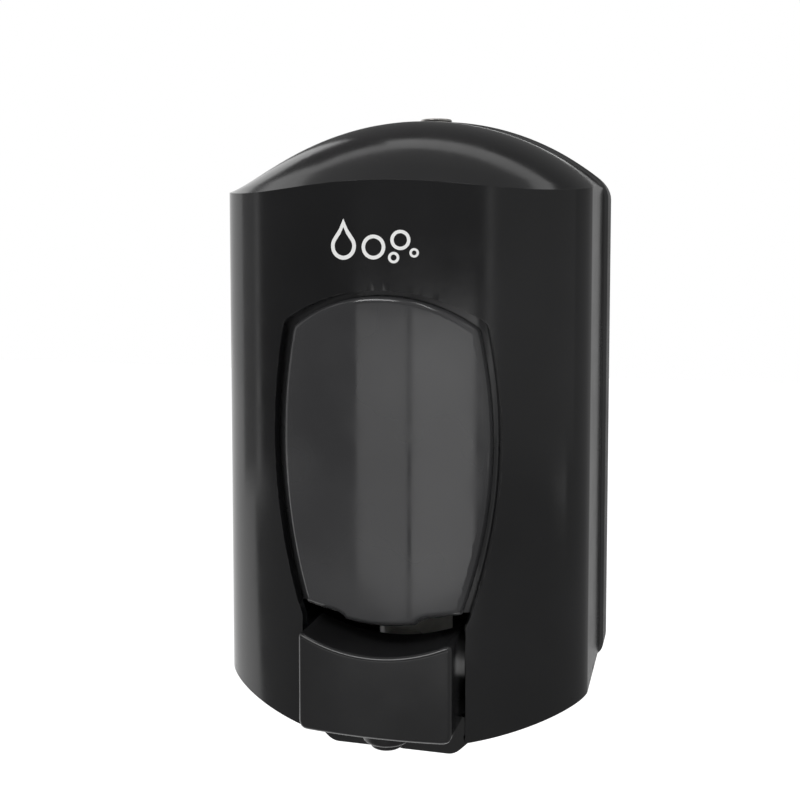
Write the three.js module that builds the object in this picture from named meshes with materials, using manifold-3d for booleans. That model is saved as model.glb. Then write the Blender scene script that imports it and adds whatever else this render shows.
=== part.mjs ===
// Wall-mounted liquid soap dispenser: a wall plate, a bowed cover that swings down on two pins, a refillable
// tank that shows through the cover, and a push-button piston pump under the tank.
// Millimetres. The origin is the middle of the wall face. +Z is up and the front looks along -Y.

import * as THREE from 'three';
import { mergeVertices } from 'three/addons/utils/BufferGeometryUtils.js';
import Module from 'manifold-3d';

const wasm = await Module();
wasm.setup();

// ---- Clearances ----
const FIT = 0.3;               // between pieces that touch or run in each other
const TANK_GAP = 1.6;          // tank to the inside of the cover
const WINDOW_GAP = 3;          // tank face to the edge of the cover's window
const LID_GAP = 1.2;           // around the lid's ears

// ---- Cover ----
const COVER_WIDTH = 120;
const COVER_DEPTH = 84;        // wall to the middle of the front
const SIDE_DEPTH = 52.5;       // wall to where the straight sides start to bow
const BOW_POWER = 1.78;        // 2 would be an ellipse
const COVER_WALL = 2.4;
const SHOULDER_Z = 72;         // roof crease at the sides
const CREASE_RISE = 1.9;       // crease at the middle, above the shoulders
const CREASE_WAVE = -7.4;      // how the crease dips between the middle and the shoulders
const SHOULDER_RISE = 1.7;     // rear edge of the roof at the sides, above the shoulders
const ARCH_RADIUS = 90.1;      // rear edge of the roof
const ROOF_POWER = 2.8;        // how fast the roof climbs from the crease
const ROOF_STEEPNESS = 1.33;   // vertical thickness of the sloping roof against the wall's
const BOTTOM_Z = -87.2;        // bottom edge at the sides
const BOTTOM_SAG = 11.1;       // bottom edge at the middle, below the sides
const FLOOR_FRONT = 35;        // wall to the rear edge of the cover's floor
const COVER_HALF = COVER_WIDTH / 2;

// ---- Window in the cover, and the neck under it for the button ----
const WINDOW_APEX_Z = 41;
const WINDOW_TOP_Z = 31;
const WINDOW_TOP_HALF = 32.3;
const WINDOW_MID_Z = -7;
const WINDOW_MID_HALF = 36.2;
const WINDOW_LOW_HALF = 27.5;
const NECK_HALF = 26;
const NECK_STEP = 3.5;         // height of the step from window to neck

// ---- Wall plate ----
const LIP = 1.5;               // plate stands proud of the cover all round
const PLATE_DEPTH = 14.5;
const SEAM = 1.5;              // between the plate and the cover's rear edge
const PLATE_PANEL = 2.5;
const PLATE_RIM = 3;
const PLATE_CORNER = 4;
const PLATE_BEVEL = 1.2;
const PLATE_BEVEL_DEPTH = 2.5;
const FLANGE_REACH = 5.5;      // inner flange that locates the cover, in front of the plate
const FLANGE_WALL = 1.8;
const FLANGE_GAP = 0.8;
const KEYHOLE_X = 32;
const KEYHOLE_TOP_Z = 52;
const KEYHOLE_LOW_Z = -48;
const KEYHOLE_HEAD = 4.5;
const KEYHOLE_SLOT = 2.3;
const KEYHOLE_LENGTH = 9;
const RIB_X = 17;              // inner side of the two upright ribs
const RIB_THICK = 1.6;
const RIB_DEPTH = 8;
const RIB_LOW_Z = -40;
const RIB_TOP_Z = 62;
const CROSS_RIB_HALF = 45;
const CROSS_RIB_DEPTH = 6;
const CROSS_RIB_Z = -20;
const TRAY_BOSS_RADIUS = 3.4;
const REST_X = 26;             // inner side of the two blocks that steady the tank's back
const REST_WIDTH = 12;
const REST_HEIGHT = 4;
const REST_DROP = 34;          // below the tank's top

// ---- Hinge of the cover ----
const HINGE_Y = -30;
const HINGE_LIFT = 4.2;        // hinge axis above the cover's bottom corners
const PIN_RADIUS = 2;
const KNUCKLE_RADIUS = 3.6;
const BOSS_WIDTH = 4.6;        // boss on the cover's side wall
const EAR_WIDTH = 6.5;         // ear on the plate
const EAR_GAP = 1.5;

// ---- Key lock at the top of the plate ----
const LOCK_Y = -8;
const LOCK_RADIUS = 4.7;
const LOCK_HEAD_RADIUS = 5.6;
const LOCK_HEAD = 0.8;
const LOCK_LENGTH = 10;
const LOCK_SPIGOT_RADIUS = 2.5;
const CAM_THICK = 2;
const CAM_WIDTH = 5;
const CAM_REACH = 13;
const LOCK_SCREW_RADIUS = 3.4;
const LOCK_SCREW_HEAD = 1.5;
const CATCH_WIDTH = 6;
const CATCH_THICK = 2;
const CATCH_LIP = 1.6;
const KEY_SLOT = 1.2;

// ---- Tank ----
const TANK_WIDTH = 100;
const TANK_BACK_GAP = 2;       // flange to the back of the tank
const TANK_WALL = 2;
const TANK_DROP = 12;          // tank top below the shoulders
const TANK_FLOOR_RISE = 30.2;  // tank bottom above the cover's bottom corners
const TANK_FACE_INSET = 0.2;   // tank face behind the cover's face
const SUMP_HALF = 12.5;        // rounded belly at the bottom of the tank face
const SUMP_DEPTH = 4.4;
const SUMP_RECESS = 18;        // back of the belly, behind the cover's face
const NECK_RADIUS = 8.5;
const NECK_BORE = 5.5;
const NECK_LENGTH = 8;
const MOUTH_HALF = 20;
const MOUTH_SET = 8;           // back of the tank to the mouth
const MOUTH_LENGTH = 16;
const MOUTH_RIM = 2.5;
const LID_THICK = 1.8;
const LID_SKIRT = 1.4;
const LID_PIN_RADIUS = 1.2;
const LID_PIN_SET = 2.4;       // back of the tank to the lid's pin
const LID_EAR = 3;
const LID_KNUCKLE_HALF = 12;
const LID_TAB = 5;
const SHELF_WIDTH = 14;        // each shelf under the tank
const SHELF_REACH = 40;        // shelf in front of the cover's rear edge
const SHELF_THICK = 3;
const GUSSET_REACH = 40;
const GUSSET_DROP = 24;
const GUSSET_THICK = 2.4;

// ---- Pump ----
const PUMP_SET = 15;           // back of the tank to the inlet, outlet and neck
const PUMP_DROP = 25;          // pump axis below the tank's bottom
const BORE_RADIUS = 6.8;
const PUMP_WALL = 2.4;
const PUMP_RECESS = 22;        // open end of the pump, behind the cover's face
const PUMP_TAIL = 9;           // inlet to the closed end of the pump
const BORE_END = 3;            // closed end's thickness
const CUP_RADIUS = 12.5;
const CUP_WALL = 3;
const GASKET = 2.6;
const COLLAR_WALL = 2.2;
const COLLAR_WEB = 2;
const BALL_RADIUS = 1.75;
const CHAMBER_RADIUS = 2.3;
const CHAMBER_HEIGHT = 5;
const PORT_RADIUS = 1.2;
const SEAT_THICK = 1;
const OUTLET_RADIUS = 5;
const PISTON_SET = 4;          // piston inside the open end, at rest
const PISTON_FLANGE = 1.4;
const SEAL_WIDTH = 2.4;
const SEAL_THICK = 1.2;
const ROD_RADIUS = 3.5;
const CAP_THICK = 2.2;
const SPRING_RADIUS = 4.8;
const SPRING_WIRE = 0.55;
const SPRING_PITCH = 3.4;
const VALVE_SPRING_RADIUS = 1.45;
const VALVE_SPRING_WIRE = 0.3;
const LUG_X = 16.5;
const LUG_THICK = 2.5;
const SCREW_RADIUS = 1.4;
const SCREW_HEAD_RADIUS = 2.8;
const SCREW_HEAD = 1.8;

// ---- Nozzle ----
const ARM_HALF = 6;
const ARM_HEIGHT = 7.6;
const ARM_STEP_GAP = 3;        // button at full travel to the step in the arm
const SPOUT_RECESS = 9;        // spout behind the cover's face
const SPOUT_RADIUS = 7.5;
const SPOUT_HEIGHT = 6.4;
const TIP_LENGTH = 2;
const SOCKET_DROP = 3.5;
const CHANNEL_RADIUS = 1.6;
const SPOUT_BORE = 3;
const VALVE_DEPTH = 7;

// ---- Button ----
const BUTTON_HALF = 23.8;
const BUTTON_PROUD = 8;        // middle of the button's face, in front of the cover's
const BUTTON_CROWN = 2;        // its edges lie this much behind
const BUTTON_DEPTH = 22;
const BUTTON_WALL = 2;
const BUTTON_TOP_DROP = 6;     // top corners below the tank's bottom
const BUTTON_TOP_SAG = 4.7;
const BUTTON_LOW_DROP = 35.8;
const BUTTON_CORNER = 3;
const BUTTON_HUB = 6;
const HUB_GAP = 1;             // hub to the pump's cap at full travel
const BUTTON_TRAVEL = 9;

// ---- Tray under the pump ----
const TRAY_RECESS = 16;        // front of the tray, behind the cover's face
const TRAY_TOP_HALF = 29;
const TRAY_LOW_HALF = 20;
const TRAY_GAP = 0.9;          // nozzle's socket to the tray's floor
const TRAY_KNEE = 15;          // where its sides turn in, below the pump axis
const TRAY_SIDE = 6;           // top of its sides, below the pump axis
const TRAY_WALL = 2;
const TRAY_REAR = 7.3;
const TRAY_SCREW_X = 21;
const TRAY_SCREW_DROP = 11;    // below the pump axis

// ---- Values worked out from those above ----
const COVER_REAR = PLATE_DEPTH + SEAM;
const FLANGE_DEPTH = PLATE_DEPTH + FLANGE_REACH;
const TANK_REAR = FLANGE_DEPTH + TANK_BACK_GAP;
const SUMP_REAR = COVER_DEPTH - SUMP_RECESS;
const MOUTH_REAR = TANK_REAR + MOUTH_SET;
const MOUTH_FRONT = MOUTH_REAR + MOUTH_LENGTH;
const LID_PIN_Y = -TANK_REAR - LID_PIN_SET;
const PUMP_Y = -TANK_REAR - PUMP_SET;
const PUMP_FRONT = COVER_DEPTH - PUMP_RECESS;
const PUMP_REAR = -PUMP_Y - PUMP_TAIL;
const PISTON_FRONT = PUMP_FRONT - PISTON_SET;
const BUTTON_FACE = COVER_DEPTH + BUTTON_PROUD;
const BUTTON_REAR = BUTTON_FACE - BUTTON_DEPTH;
const HUB_REAR = PUMP_FRONT + FIT + CAP_THICK + BUTTON_TRAVEL + HUB_GAP;
const ARM_STEP_Y = -BUTTON_REAR + BUTTON_TRAVEL + ARM_STEP_GAP;
const SPOUT_Y = -COVER_DEPTH + SPOUT_RECESS;
const TRAY_FRONT = COVER_DEPTH - TRAY_RECESS;
const TANK_BOTTOM_Z = BOTTOM_Z + TANK_FLOOR_RISE;
const TANK_TOP_Z = SHOULDER_Z - TANK_DROP;
const PUMP_Z = TANK_BOTTOM_Z - PUMP_DROP;
const ARCH_CENTRE_Z = SHOULDER_Z + SHOULDER_RISE - Math.sqrt(ARCH_RADIUS ** 2 - COVER_HALF ** 2);
const PLATE_TOP_Z = ARCH_CENTRE_Z + ARCH_RADIUS + LIP;
const HINGE_Z = BOTTOM_Z + HINGE_LIFT;
const PUMP_RADIUS = BORE_RADIUS + PUMP_WALL;
const CUP_FLOOR_Z = TANK_BOTTOM_Z - NECK_LENGTH - GASKET - 2 * FIT;
const CAM_TOP_Z = PLATE_TOP_Z - LOCK_LENGTH - FIT;
const ARM_TOP_Z = PUMP_Z - PUMP_RADIUS - FIT;
const TRAY_LOW_Z = ARM_TOP_Z - ARM_HEIGHT - SOCKET_DROP - TRAY_GAP - TRAY_WALL;
const BUTTON_LOW_Z = TANK_BOTTOM_Z - BUTTON_LOW_DROP;
const SEAL_RADIUS = BORE_RADIUS - FIT;
const WIDE = 200;

// ---- Solids ----
function solid(geometry) {
  geometry.deleteAttribute('normal');
  geometry.deleteAttribute('uv');
  const merged = mergeVertices(geometry, 1e-4);
  return new wasm.Manifold(new wasm.Mesh({
    numProp: 3,
    vertProperties: new Float32Array(merged.attributes.position.array),
    triVerts: new Uint32Array(merged.index.array),
  }));
}

function box(x0, x1, y0, y1, z0, z1) {
  const g = new THREE.BoxGeometry(x1 - x0, y1 - y0, z1 - z0);
  return solid(g.translate((x0 + x1) / 2, (y0 + y1) / 2, (z0 + z1) / 2));
}

// Outline in X and Z, pushed from y0 (rear) forward to y1.
function prismY(shape, y0, y1) {
  const g = new THREE.ExtrudeGeometry(shape, { depth: y0 - y1, bevelEnabled: false, curveSegments: 10 });
  return solid(g.rotateX(Math.PI / 2).translate(0, y0, 0));
}

function prismZ(shape, z0, z1) {
  const g = new THREE.ExtrudeGeometry(shape, { depth: z1 - z0, bevelEnabled: false, curveSegments: 10 });
  return solid(g.translate(0, 0, z0));
}

function rodX(radius, x0, x1, y, z, sides = 20) {
  const g = new THREE.CylinderGeometry(radius, radius, x1 - x0, sides);
  return solid(g.rotateZ(Math.PI / 2).translate((x0 + x1) / 2, y, z));
}

function rodY(radius, y0, y1, x, z, sides = 28) {
  const g = new THREE.CylinderGeometry(radius, radius, y1 - y0, sides);
  return solid(g.translate(0, (y0 + y1) / 2, 0).translate(x, 0, z));
}

function rodZ(radius, z0, z1, x, y, sides = 28) {
  const g = new THREE.CylinderGeometry(radius, radius, z1 - z0, sides);
  return solid(g.rotateX(Math.PI / 2).translate(x, y, (z0 + z1) / 2));
}

function joined(first, ...rest) {
  return rest.reduce((all, one) => all.add(one), first);
}

function cut(first, ...rest) {
  return rest.reduce((all, one) => all.subtract(one), first);
}

function mirrored(build) {
  return build(-1).add(build(1));
}

function span(side, near, far) {
  return side > 0 ? [near, far] : [-far, -near];
}

const group = new THREE.Group();

function addPart(name, body, colour, roughness, metalness = 0) {
  const { vertProperties, triVerts, numProp } = body.getMesh();
  const geometry = new THREE.BufferGeometry();
  const position = new THREE.InterleavedBuffer(vertProperties, numProp);
  geometry.setAttribute('position', new THREE.InterleavedBufferAttribute(position, 3, 0));
  geometry.setIndex(new THREE.BufferAttribute(triVerts, 1));
  const material = new THREE.MeshStandardMaterial({ color: colour, roughness, metalness });
  const mesh = new THREE.Mesh(geometry, material);
  mesh.name = name;
  group.add(mesh);
}

const GLOSS_BLACK = 0x161616;
const BUTTON_BLACK = 0x1c1c1c;
const SATIN_BLACK = 0x101010;
const SMOKE = 0x3c3c3e;
const NATURAL_WHITE = 0xd8d8d2;
const RUBBER_GREY = 0x2b2b2b;
const STEEL = 0xb8bcc0;

// ---- The cover's outer form ----
// Distance from the wall to the cover's face at x, for a form drawn in by inset.
function faceDepth(x, inset = 0) {
  const across = Math.min(Math.abs(x) / (COVER_HALF - inset), 1);
  const bow = COVER_DEPTH - inset - SIDE_DEPTH;
  return SIDE_DEPTH + bow * (1 - across ** BOW_POWER) ** (1 / BOW_POWER);
}

function planShape(inset, rear) {
  const steps = 40;
  const half = COVER_HALF - inset;
  const bow = COVER_DEPTH - inset - SIDE_DEPTH;
  const points = [new THREE.Vector2(-half, -rear)];
  for (let i = 0; i <= steps; i++) {
    const turn = Math.PI * (1 - i / steps);
    const x = half * Math.sign(Math.cos(turn)) * Math.abs(Math.cos(turn)) ** (2 / BOW_POWER);
    const y = -SIDE_DEPTH - bow * Math.max(Math.sin(turn), 0) ** (2 / BOW_POWER);
    points.push(new THREE.Vector2(x, y));
  }
  points.push(new THREE.Vector2(half, -rear));
  return new THREE.Shape(points);
}

function roofHeight(x, y) {
  const side = Math.min((x / COVER_HALF) ** 2, 1);
  const crease = SHOULDER_Z + CREASE_RISE * (1 - side) + CREASE_WAVE * (1 - side) * side;
  const held = Math.min(Math.abs(x), COVER_HALF);
  const rear = ARCH_CENTRE_Z + Math.sqrt(ARCH_RADIUS ** 2 - held ** 2);
  const front = -faceDepth(x);
  const climb = THREE.MathUtils.clamp((y - front) / (-COVER_REAR - front), -0.1, 1);
  return crease + (rear - crease) * (1 - (1 - climb) ** ROOF_POWER);
}

// Everything under the roof: a box whose top follows the roof, closer meshed towards its sides.
function underRoof(drop) {
  const half = COVER_HALF + 2;
  const deep = COVER_DEPTH + 2;
  const g = new THREE.BoxGeometry(2 * half, deep, 2 * WIDE, 24, 18, 1).translate(0, -deep / 2, 0);
  const at = g.attributes.position;
  for (let i = 0; i < at.count; i++) {
    const x = half * Math.sin((Math.PI / 2) * at.getX(i) / half);
    const z = at.getZ(i) > 0 ? roofHeight(x, at.getY(i)) - drop : at.getZ(i);
    at.setXYZ(i, x, at.getY(i), z);
  }
  return solid(g);
}

function bottomEdge(x) {
  return BOTTOM_Z - BOTTOM_SAG * (1 - (x / COVER_HALF) ** 2);
}

function aboveFloor(raise) {
  const steps = 20;
  const half = COVER_HALF + 2;
  const points = [new THREE.Vector2(half, WIDE), new THREE.Vector2(-half, WIDE)];
  for (let i = 0; i <= steps; i++) {
    const x = -half + 2 * half * i / steps;
    points.push(new THREE.Vector2(x, bottomEdge(x) + raise));
  }
  return prismY(new THREE.Shape(points), 0, -WIDE);
}

function coverForm(inset, rear) {
  const plan = prismZ(planShape(inset, rear), -WIDE, WIDE);
  return plan.intersect(underRoof(inset * ROOF_STEEPNESS)).intersect(aboveFloor(inset));
}

// Points of the round arc from a to c that passes b.
function arcThrough(a, b, c, steps = 16) {
  const d = 2 * (a.x * (b.y - c.y) + b.x * (c.y - a.y) + c.x * (a.y - b.y));
  const [qa, qb, qc] = [a.lengthSq(), b.lengthSq(), c.lengthSq()];
  const centre = new THREE.Vector2(
    (qa * (b.y - c.y) + qb * (c.y - a.y) + qc * (a.y - b.y)) / d,
    (qa * (c.x - b.x) + qb * (a.x - c.x) + qc * (b.x - a.x)) / d,
  );
  const from = a.clone().sub(centre);
  let sweep = c.clone().sub(centre).angle() - from.angle();
  if (Math.abs(sweep) > Math.PI) sweep -= Math.sign(sweep) * 2 * Math.PI;
  const points = [];
  for (let i = 0; i <= steps; i++) {
    points.push(from.clone().rotateAround(new THREE.Vector2(), sweep * i / steps).add(centre));
  }
  return points;
}

const at2 = (x, z) => new THREE.Vector2(x, z);

// The bowed sides and arched top of the window, from its lower right corner round to its lower left.
function windowSides(shrink) {
  const top = WINDOW_TOP_HALF - shrink;
  const topZ = WINDOW_TOP_Z - shrink / 2;
  const mid = WINDOW_MID_HALF - shrink;
  const low = WINDOW_LOW_HALF - shrink;
  const right = arcThrough(at2(low, TANK_BOTTOM_Z), at2(mid, WINDOW_MID_Z), at2(top, topZ));
  const arch = arcThrough(at2(top, topZ), at2(0, WINDOW_APEX_Z - shrink / 2), at2(-top, topZ));
  const left = right.map((p) => at2(-p.x, p.y)).reverse();
  return [...right, ...arch.slice(1, -1), ...left];
}

function windowCut() {
  const step = TANK_BOTTOM_Z - NECK_STEP;
  return prismY(new THREE.Shape([
    at2(-NECK_HALF, -WIDE), at2(NECK_HALF, -WIDE), at2(NECK_HALF, step),
    ...windowSides(0), at2(-NECK_HALF, step),
  ]), -PLATE_DEPTH, -WIDE);
}

// ---- Front cover ----
function catchHook() {
  const [x0, x1] = [CATCH_WIDTH, 2 * CATCH_WIDTH];
  const top = CAM_TOP_Z + FIT + CATCH_THICK;
  const tip = -PLATE_PANEL - 0.9;
  const web = box(x0, x1, -FLANGE_DEPTH - 4, -FLANGE_DEPTH, top - CATCH_THICK, PLATE_TOP_Z);
  const tongue = box(x0, x1, -FLANGE_DEPTH - 4, tip, top - CATCH_THICK, top);
  const lip = box(x0, x1, tip - CATCH_LIP, tip, CAM_TOP_Z - CAM_THICK, top);
  return joined(tongue, lip).add(web.intersect(underRoof(COVER_WALL / 2)));
}

function frontCover() {
  const shell = coverForm(0, COVER_REAR).subtract(coverForm(COVER_WALL, PLATE_DEPTH - 2));
  const inner = COVER_HALF - COVER_WALL;
  const floorGap = box(-inner, inner, -FLOOR_FRONT, 0, -WIDE, HINGE_Z);
  const trayHalf = TRAY_TOP_HALF + 2;
  const trayGap = box(-trayHalf, trayHalf, -TRAY_FRONT - 5, 0, -WIDE, HINGE_Z);
  const bosses = mirrored((side) => {
    const [x0, x1] = span(side, inner - BOSS_WIDTH, inner + COVER_WALL / 2);
    return rodX(KNUCKLE_RADIUS, x0, x1, HINGE_Y, HINGE_Z);
  });
  const holes = mirrored((side) => {
    const [x0, x1] = span(side, inner - BOSS_WIDTH - 1, inner - 0.6);
    return rodX(PIN_RADIUS + FIT, x0, x1, HINGE_Y, HINGE_Z);
  });
  return cut(shell, windowCut(), floorGap, trayGap).add(bosses).subtract(holes).add(catchHook());
}

// ---- Wall plate ----
function plateShape(grow) {
  const half = COVER_HALF + grow;
  const r = PLATE_CORNER;
  const topAt = (x) => ARCH_CENTRE_Z + Math.sqrt((ARCH_RADIUS + grow) ** 2 - x ** 2);
  const lowAt = (x) => bottomEdge(x * COVER_HALF / half) - grow;
  const shape = new THREE.Shape();
  shape.moveTo(half, lowAt(half) + r);
  shape.lineTo(half, topAt(half) - r);
  shape.quadraticCurveTo(half, topAt(half), half - r, topAt(half - r));
  const steps = 24;
  for (let i = 1; i <= steps; i++) {
    const x = (half - r) * (1 - 2 * i / steps);
    shape.lineTo(x, topAt(x));
  }
  shape.quadraticCurveTo(-half, topAt(half), -half, topAt(half) - r);
  shape.lineTo(-half, lowAt(half) + r);
  shape.quadraticCurveTo(-half, lowAt(half), -half + r, lowAt(half - r));
  for (let i = 1; i <= steps; i++) {
    const x = (half - r) * (2 * i / steps - 1);
    shape.lineTo(x, lowAt(x));
  }
  shape.quadraticCurveTo(half, lowAt(half), half, lowAt(half) + r);
  return shape;
}

function plateRing(grow, wall, y0, y1) {
  return prismY(plateShape(grow), y0, y1).subtract(prismY(plateShape(grow - wall), y0 + 1, y1 - 1));
}

function plateTray() {
  const g = new THREE.ExtrudeGeometry(plateShape(LIP), {
    depth: PLATE_DEPTH - PLATE_BEVEL_DEPTH,
    bevelThickness: PLATE_BEVEL_DEPTH,
    bevelSize: PLATE_BEVEL,
    bevelOffset: -PLATE_BEVEL,
    bevelSegments: 1,
    curveSegments: 6,
  });
  const block = cut(solid(g.rotateX(Math.PI / 2)), box(-WIDE, WIDE, 0, WIDE, -WIDE, WIDE));
  return block.subtract(prismY(plateShape(LIP - PLATE_RIM), -PLATE_PANEL, -WIDE));
}

function keyhole(x, z) {
  const head = rodY(KEYHOLE_HEAD, -PLATE_PANEL - 1, 1, x, z, 20);
  const slot = box(x - KEYHOLE_SLOT, x + KEYHOLE_SLOT, -PLATE_PANEL - 1, 1, z, z + KEYHOLE_LENGTH);
  const end = rodY(KEYHOLE_SLOT, -PLATE_PANEL - 1, 1, x, z + KEYHOLE_LENGTH, 16);
  return joined(head, slot, end);
}

function hingeEar(side) {
  const outer = COVER_HALF - COVER_WALL - BOSS_WIDTH - EAR_GAP;
  const [x0, x1] = span(side, outer - EAR_WIDTH, outer);
  const r = KNUCKLE_RADIUS;
  const arm = box(x0, x1, HINGE_Y, -PLATE_PANEL / 2, HINGE_Z - r, HINGE_Z + r);
  const hole = rodX(PIN_RADIUS + FIT, x0 - 1, x1 + 1, HINGE_Y, HINGE_Z);
  return joined(arm, rodX(r, x0, x1, HINGE_Y, HINGE_Z)).subtract(hole);
}

function tankShelf(side) {
  const [x0, x1] = span(side, TRAY_TOP_HALF, TRAY_TOP_HALF + SHELF_WIDTH);
  const top = TANK_BOTTOM_Z - FIT;
  const shelf = box(x0, x1, -COVER_REAR - SHELF_REACH, -PLATE_PANEL / 2, top - SHELF_THICK, top);
  const under = top - SHELF_THICK / 2;
  const outline = new THREE.Shape([at2(-GUSSET_REACH, under), at2(-1, top - GUSSET_DROP), at2(-1, under)]);
  const left = (x0 + x1 - GUSSET_THICK) / 2;
  const g = new THREE.ExtrudeGeometry(outline, { depth: GUSSET_THICK, bevelEnabled: false });
  const turn = new THREE.Matrix4().makeBasis(
    new THREE.Vector3(0, 1, 0), new THREE.Vector3(0, 0, 1), new THREE.Vector3(1, 0, 0),
  );
  return shelf.add(solid(g.applyMatrix4(turn).translate(left, 0, 0)));
}

function tankRest(side) {
  const [x0, x1] = span(side, REST_X, REST_X + REST_WIDTH);
  const z = TANK_TOP_Z - REST_DROP;
  return box(x0, x1, -TANK_REAR + FIT, -PLATE_PANEL / 2, z, z + REST_HEIGHT);
}

function wallPlate() {
  const inset = COVER_WALL * ROOF_STEEPNESS + FLANGE_GAP;
  const flange = plateRing(-inset, FLANGE_WALL, -PLATE_PANEL / 2, -FLANGE_DEPTH)
    .subtract(box(-WIDE, WIDE, -WIDE, -PLATE_DEPTH, -WIDE, HINGE_Z));
  const lockHalf = 2 * CATCH_WIDTH + 4;
  const lockGap = box(-lockHalf, lockHalf, -WIDE, -PLATE_PANEL, SHOULDER_Z, PLATE_TOP_Z - PLATE_RIM);
  const trayHalf = TRAY_TOP_HALF + FIT;
  const trayGap = box(-trayHalf, trayHalf, -WIDE, -PLATE_PANEL, -WIDE, HINGE_Z);
  const bossY = -TRAY_REAR + FIT;
  const bosses = mirrored((side) => (
    rodY(TRAY_BOSS_RADIUS, bossY, -PLATE_PANEL / 2, side * TRAY_SCREW_X, PUMP_Z - TRAY_SCREW_DROP)
  ));
  const screwHoles = mirrored((side) => (
    rodY(SCREW_RADIUS + FIT, bossY - 1, -PLATE_PANEL + 1, side * TRAY_SCREW_X, PUMP_Z - TRAY_SCREW_DROP)
  ));
  const back = -PLATE_PANEL / 2;
  const ribs = mirrored((side) => (
    box(...span(side, RIB_X, RIB_X + RIB_THICK), -RIB_DEPTH, back, RIB_LOW_Z, RIB_TOP_Z)
  ));
  const crossTop = CROSS_RIB_Z + RIB_THICK;
  const rib = box(-CROSS_RIB_HALF, CROSS_RIB_HALF, -CROSS_RIB_DEPTH, back, CROSS_RIB_Z, crossTop);
  const lockHole = rodZ(LOCK_RADIUS + FIT, PLATE_TOP_Z - 8, PLATE_TOP_Z + 2, 0, LOCK_Y);
  const shell = cut(plateTray().add(flange), lockGap, trayGap, lockHole);
  const keyholes = [-1, 1].flatMap((side) => [
    keyhole(side * KEYHOLE_X, KEYHOLE_TOP_Z), keyhole(side * KEYHOLE_X, KEYHOLE_LOW_Z),
  ]);
  const fittings = [
    bosses, ribs, rib, mirrored(hingeEar), mirrored(tankShelf), mirrored(tankRest),
  ];
  return cut(joined(shell, ...fittings), screwHoles, ...keyholes);
}

function hingePin(side) {
  const inner = COVER_HALF - COVER_WALL;
  const [x0, x1] = span(side, inner - BOSS_WIDTH - EAR_GAP - EAR_WIDTH - 1, inner - 0.9);
  return rodX(PIN_RADIUS, x0, x1, HINGE_Y, HINGE_Z);
}

// ---- Lock ----
function lockBarrel() {
  const under = CAM_TOP_Z + FIT;
  const spigotEnd = CAM_TOP_Z - CAM_THICK - FIT;
  const headZ = PLATE_TOP_Z + FIT;
  const body = joined(
    rodZ(LOCK_HEAD_RADIUS, headZ, headZ + LOCK_HEAD, 0, LOCK_Y),
    rodZ(LOCK_RADIUS, under, headZ + 0.1, 0, LOCK_Y),
    rodZ(LOCK_SPIGOT_RADIUS, spigotEnd, under + 0.1, 0, LOCK_Y),
  );
  const slot = box(-3.4, 3.4, LOCK_Y - KEY_SLOT / 2, LOCK_Y + KEY_SLOT / 2, PLATE_TOP_Z - 5, PLATE_TOP_Z + 5);
  const thread = rodZ(SCREW_RADIUS + FIT, spigotEnd - 1, spigotEnd + 4, 0, LOCK_Y, 16);
  return cut(body, slot, thread);
}

function lockCam() {
  const low = CAM_TOP_Z - CAM_THICK;
  const hub = rodZ(LOCK_RADIUS, low, CAM_TOP_Z, 0, LOCK_Y);
  const arm = box(-CAM_WIDTH / 2, CAM_WIDTH / 2, LOCK_Y - CAM_REACH, LOCK_Y, low, CAM_TOP_Z);
  return hub.add(arm).subtract(rodZ(LOCK_SPIGOT_RADIUS + FIT, low - 1, CAM_TOP_Z + 1, 0, LOCK_Y));
}

function lockScrew() {
  const top = CAM_TOP_Z - CAM_THICK - 2 * FIT;
  const head = rodZ(LOCK_SCREW_RADIUS, top - LOCK_SCREW_HEAD, top, 0, LOCK_Y, 24);
  return head.add(rodZ(SCREW_RADIUS, top - 0.5, top + 3.8, 0, LOCK_Y, 16));
}

// ---- Tank ----
function tankFace(shrink) {
  const low = TANK_BOTTOM_Z + shrink - WINDOW_GAP;
  const sides = windowSides(shrink).map((p) => at2(p.x, Math.max(p.y, low)));
  const half = SUMP_HALF - (shrink - WINDOW_GAP);
  const shape = new THREE.Shape();
  shape.moveTo(sides[0].x, sides[0].y);
  sides.slice(1).forEach((p) => shape.lineTo(p.x, p.y));
  shape.lineTo(-half - 3, low - 1.2);
  shape.quadraticCurveTo(-half, low - 1.6, -half + 1.5, low - SUMP_DEPTH + 1);
  shape.quadraticCurveTo(0, low - SUMP_DEPTH - 0.6, half - 1.5, low - SUMP_DEPTH + 1);
  shape.quadraticCurveTo(half, low - 1.6, half + 3, low - 1.2);
  return shape;
}

function tankBody(inset, faceInset) {
  const half = TANK_WIDTH / 2 - inset;
  const room = COVER_WALL + TANK_GAP + inset;
  const body = prismZ(planShape(room, TANK_REAR + inset), TANK_BOTTOM_Z + inset, TANK_TOP_Z - inset)
    .intersect(box(-half, half, -WIDE, 0, -WIDE, WIDE));
  const face = prismY(tankFace(WINDOW_GAP + inset), -SUMP_REAR - inset, -WIDE);
  return body.add(face.intersect(prismZ(planShape(faceInset, 0), -WIDE, WIDE)));
}

function lidEar(side) {
  const [x0, x1] = span(side, LID_KNUCKLE_HALF + FIT, LID_KNUCKLE_HALF + FIT + LID_EAR);
  const z = TANK_TOP_Z + MOUTH_RIM;
  const foot = box(x0, x1, LID_PIN_Y - 2, LID_PIN_Y + 2, TANK_TOP_Z - 1, z);
  const eye = rodX(2.2, x0, x1, LID_PIN_Y, z, 20);
  return foot.add(eye).subtract(rodX(LID_PIN_RADIUS + FIT, x0 - 1, x1 + 1, LID_PIN_Y, z, 20));
}

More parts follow.
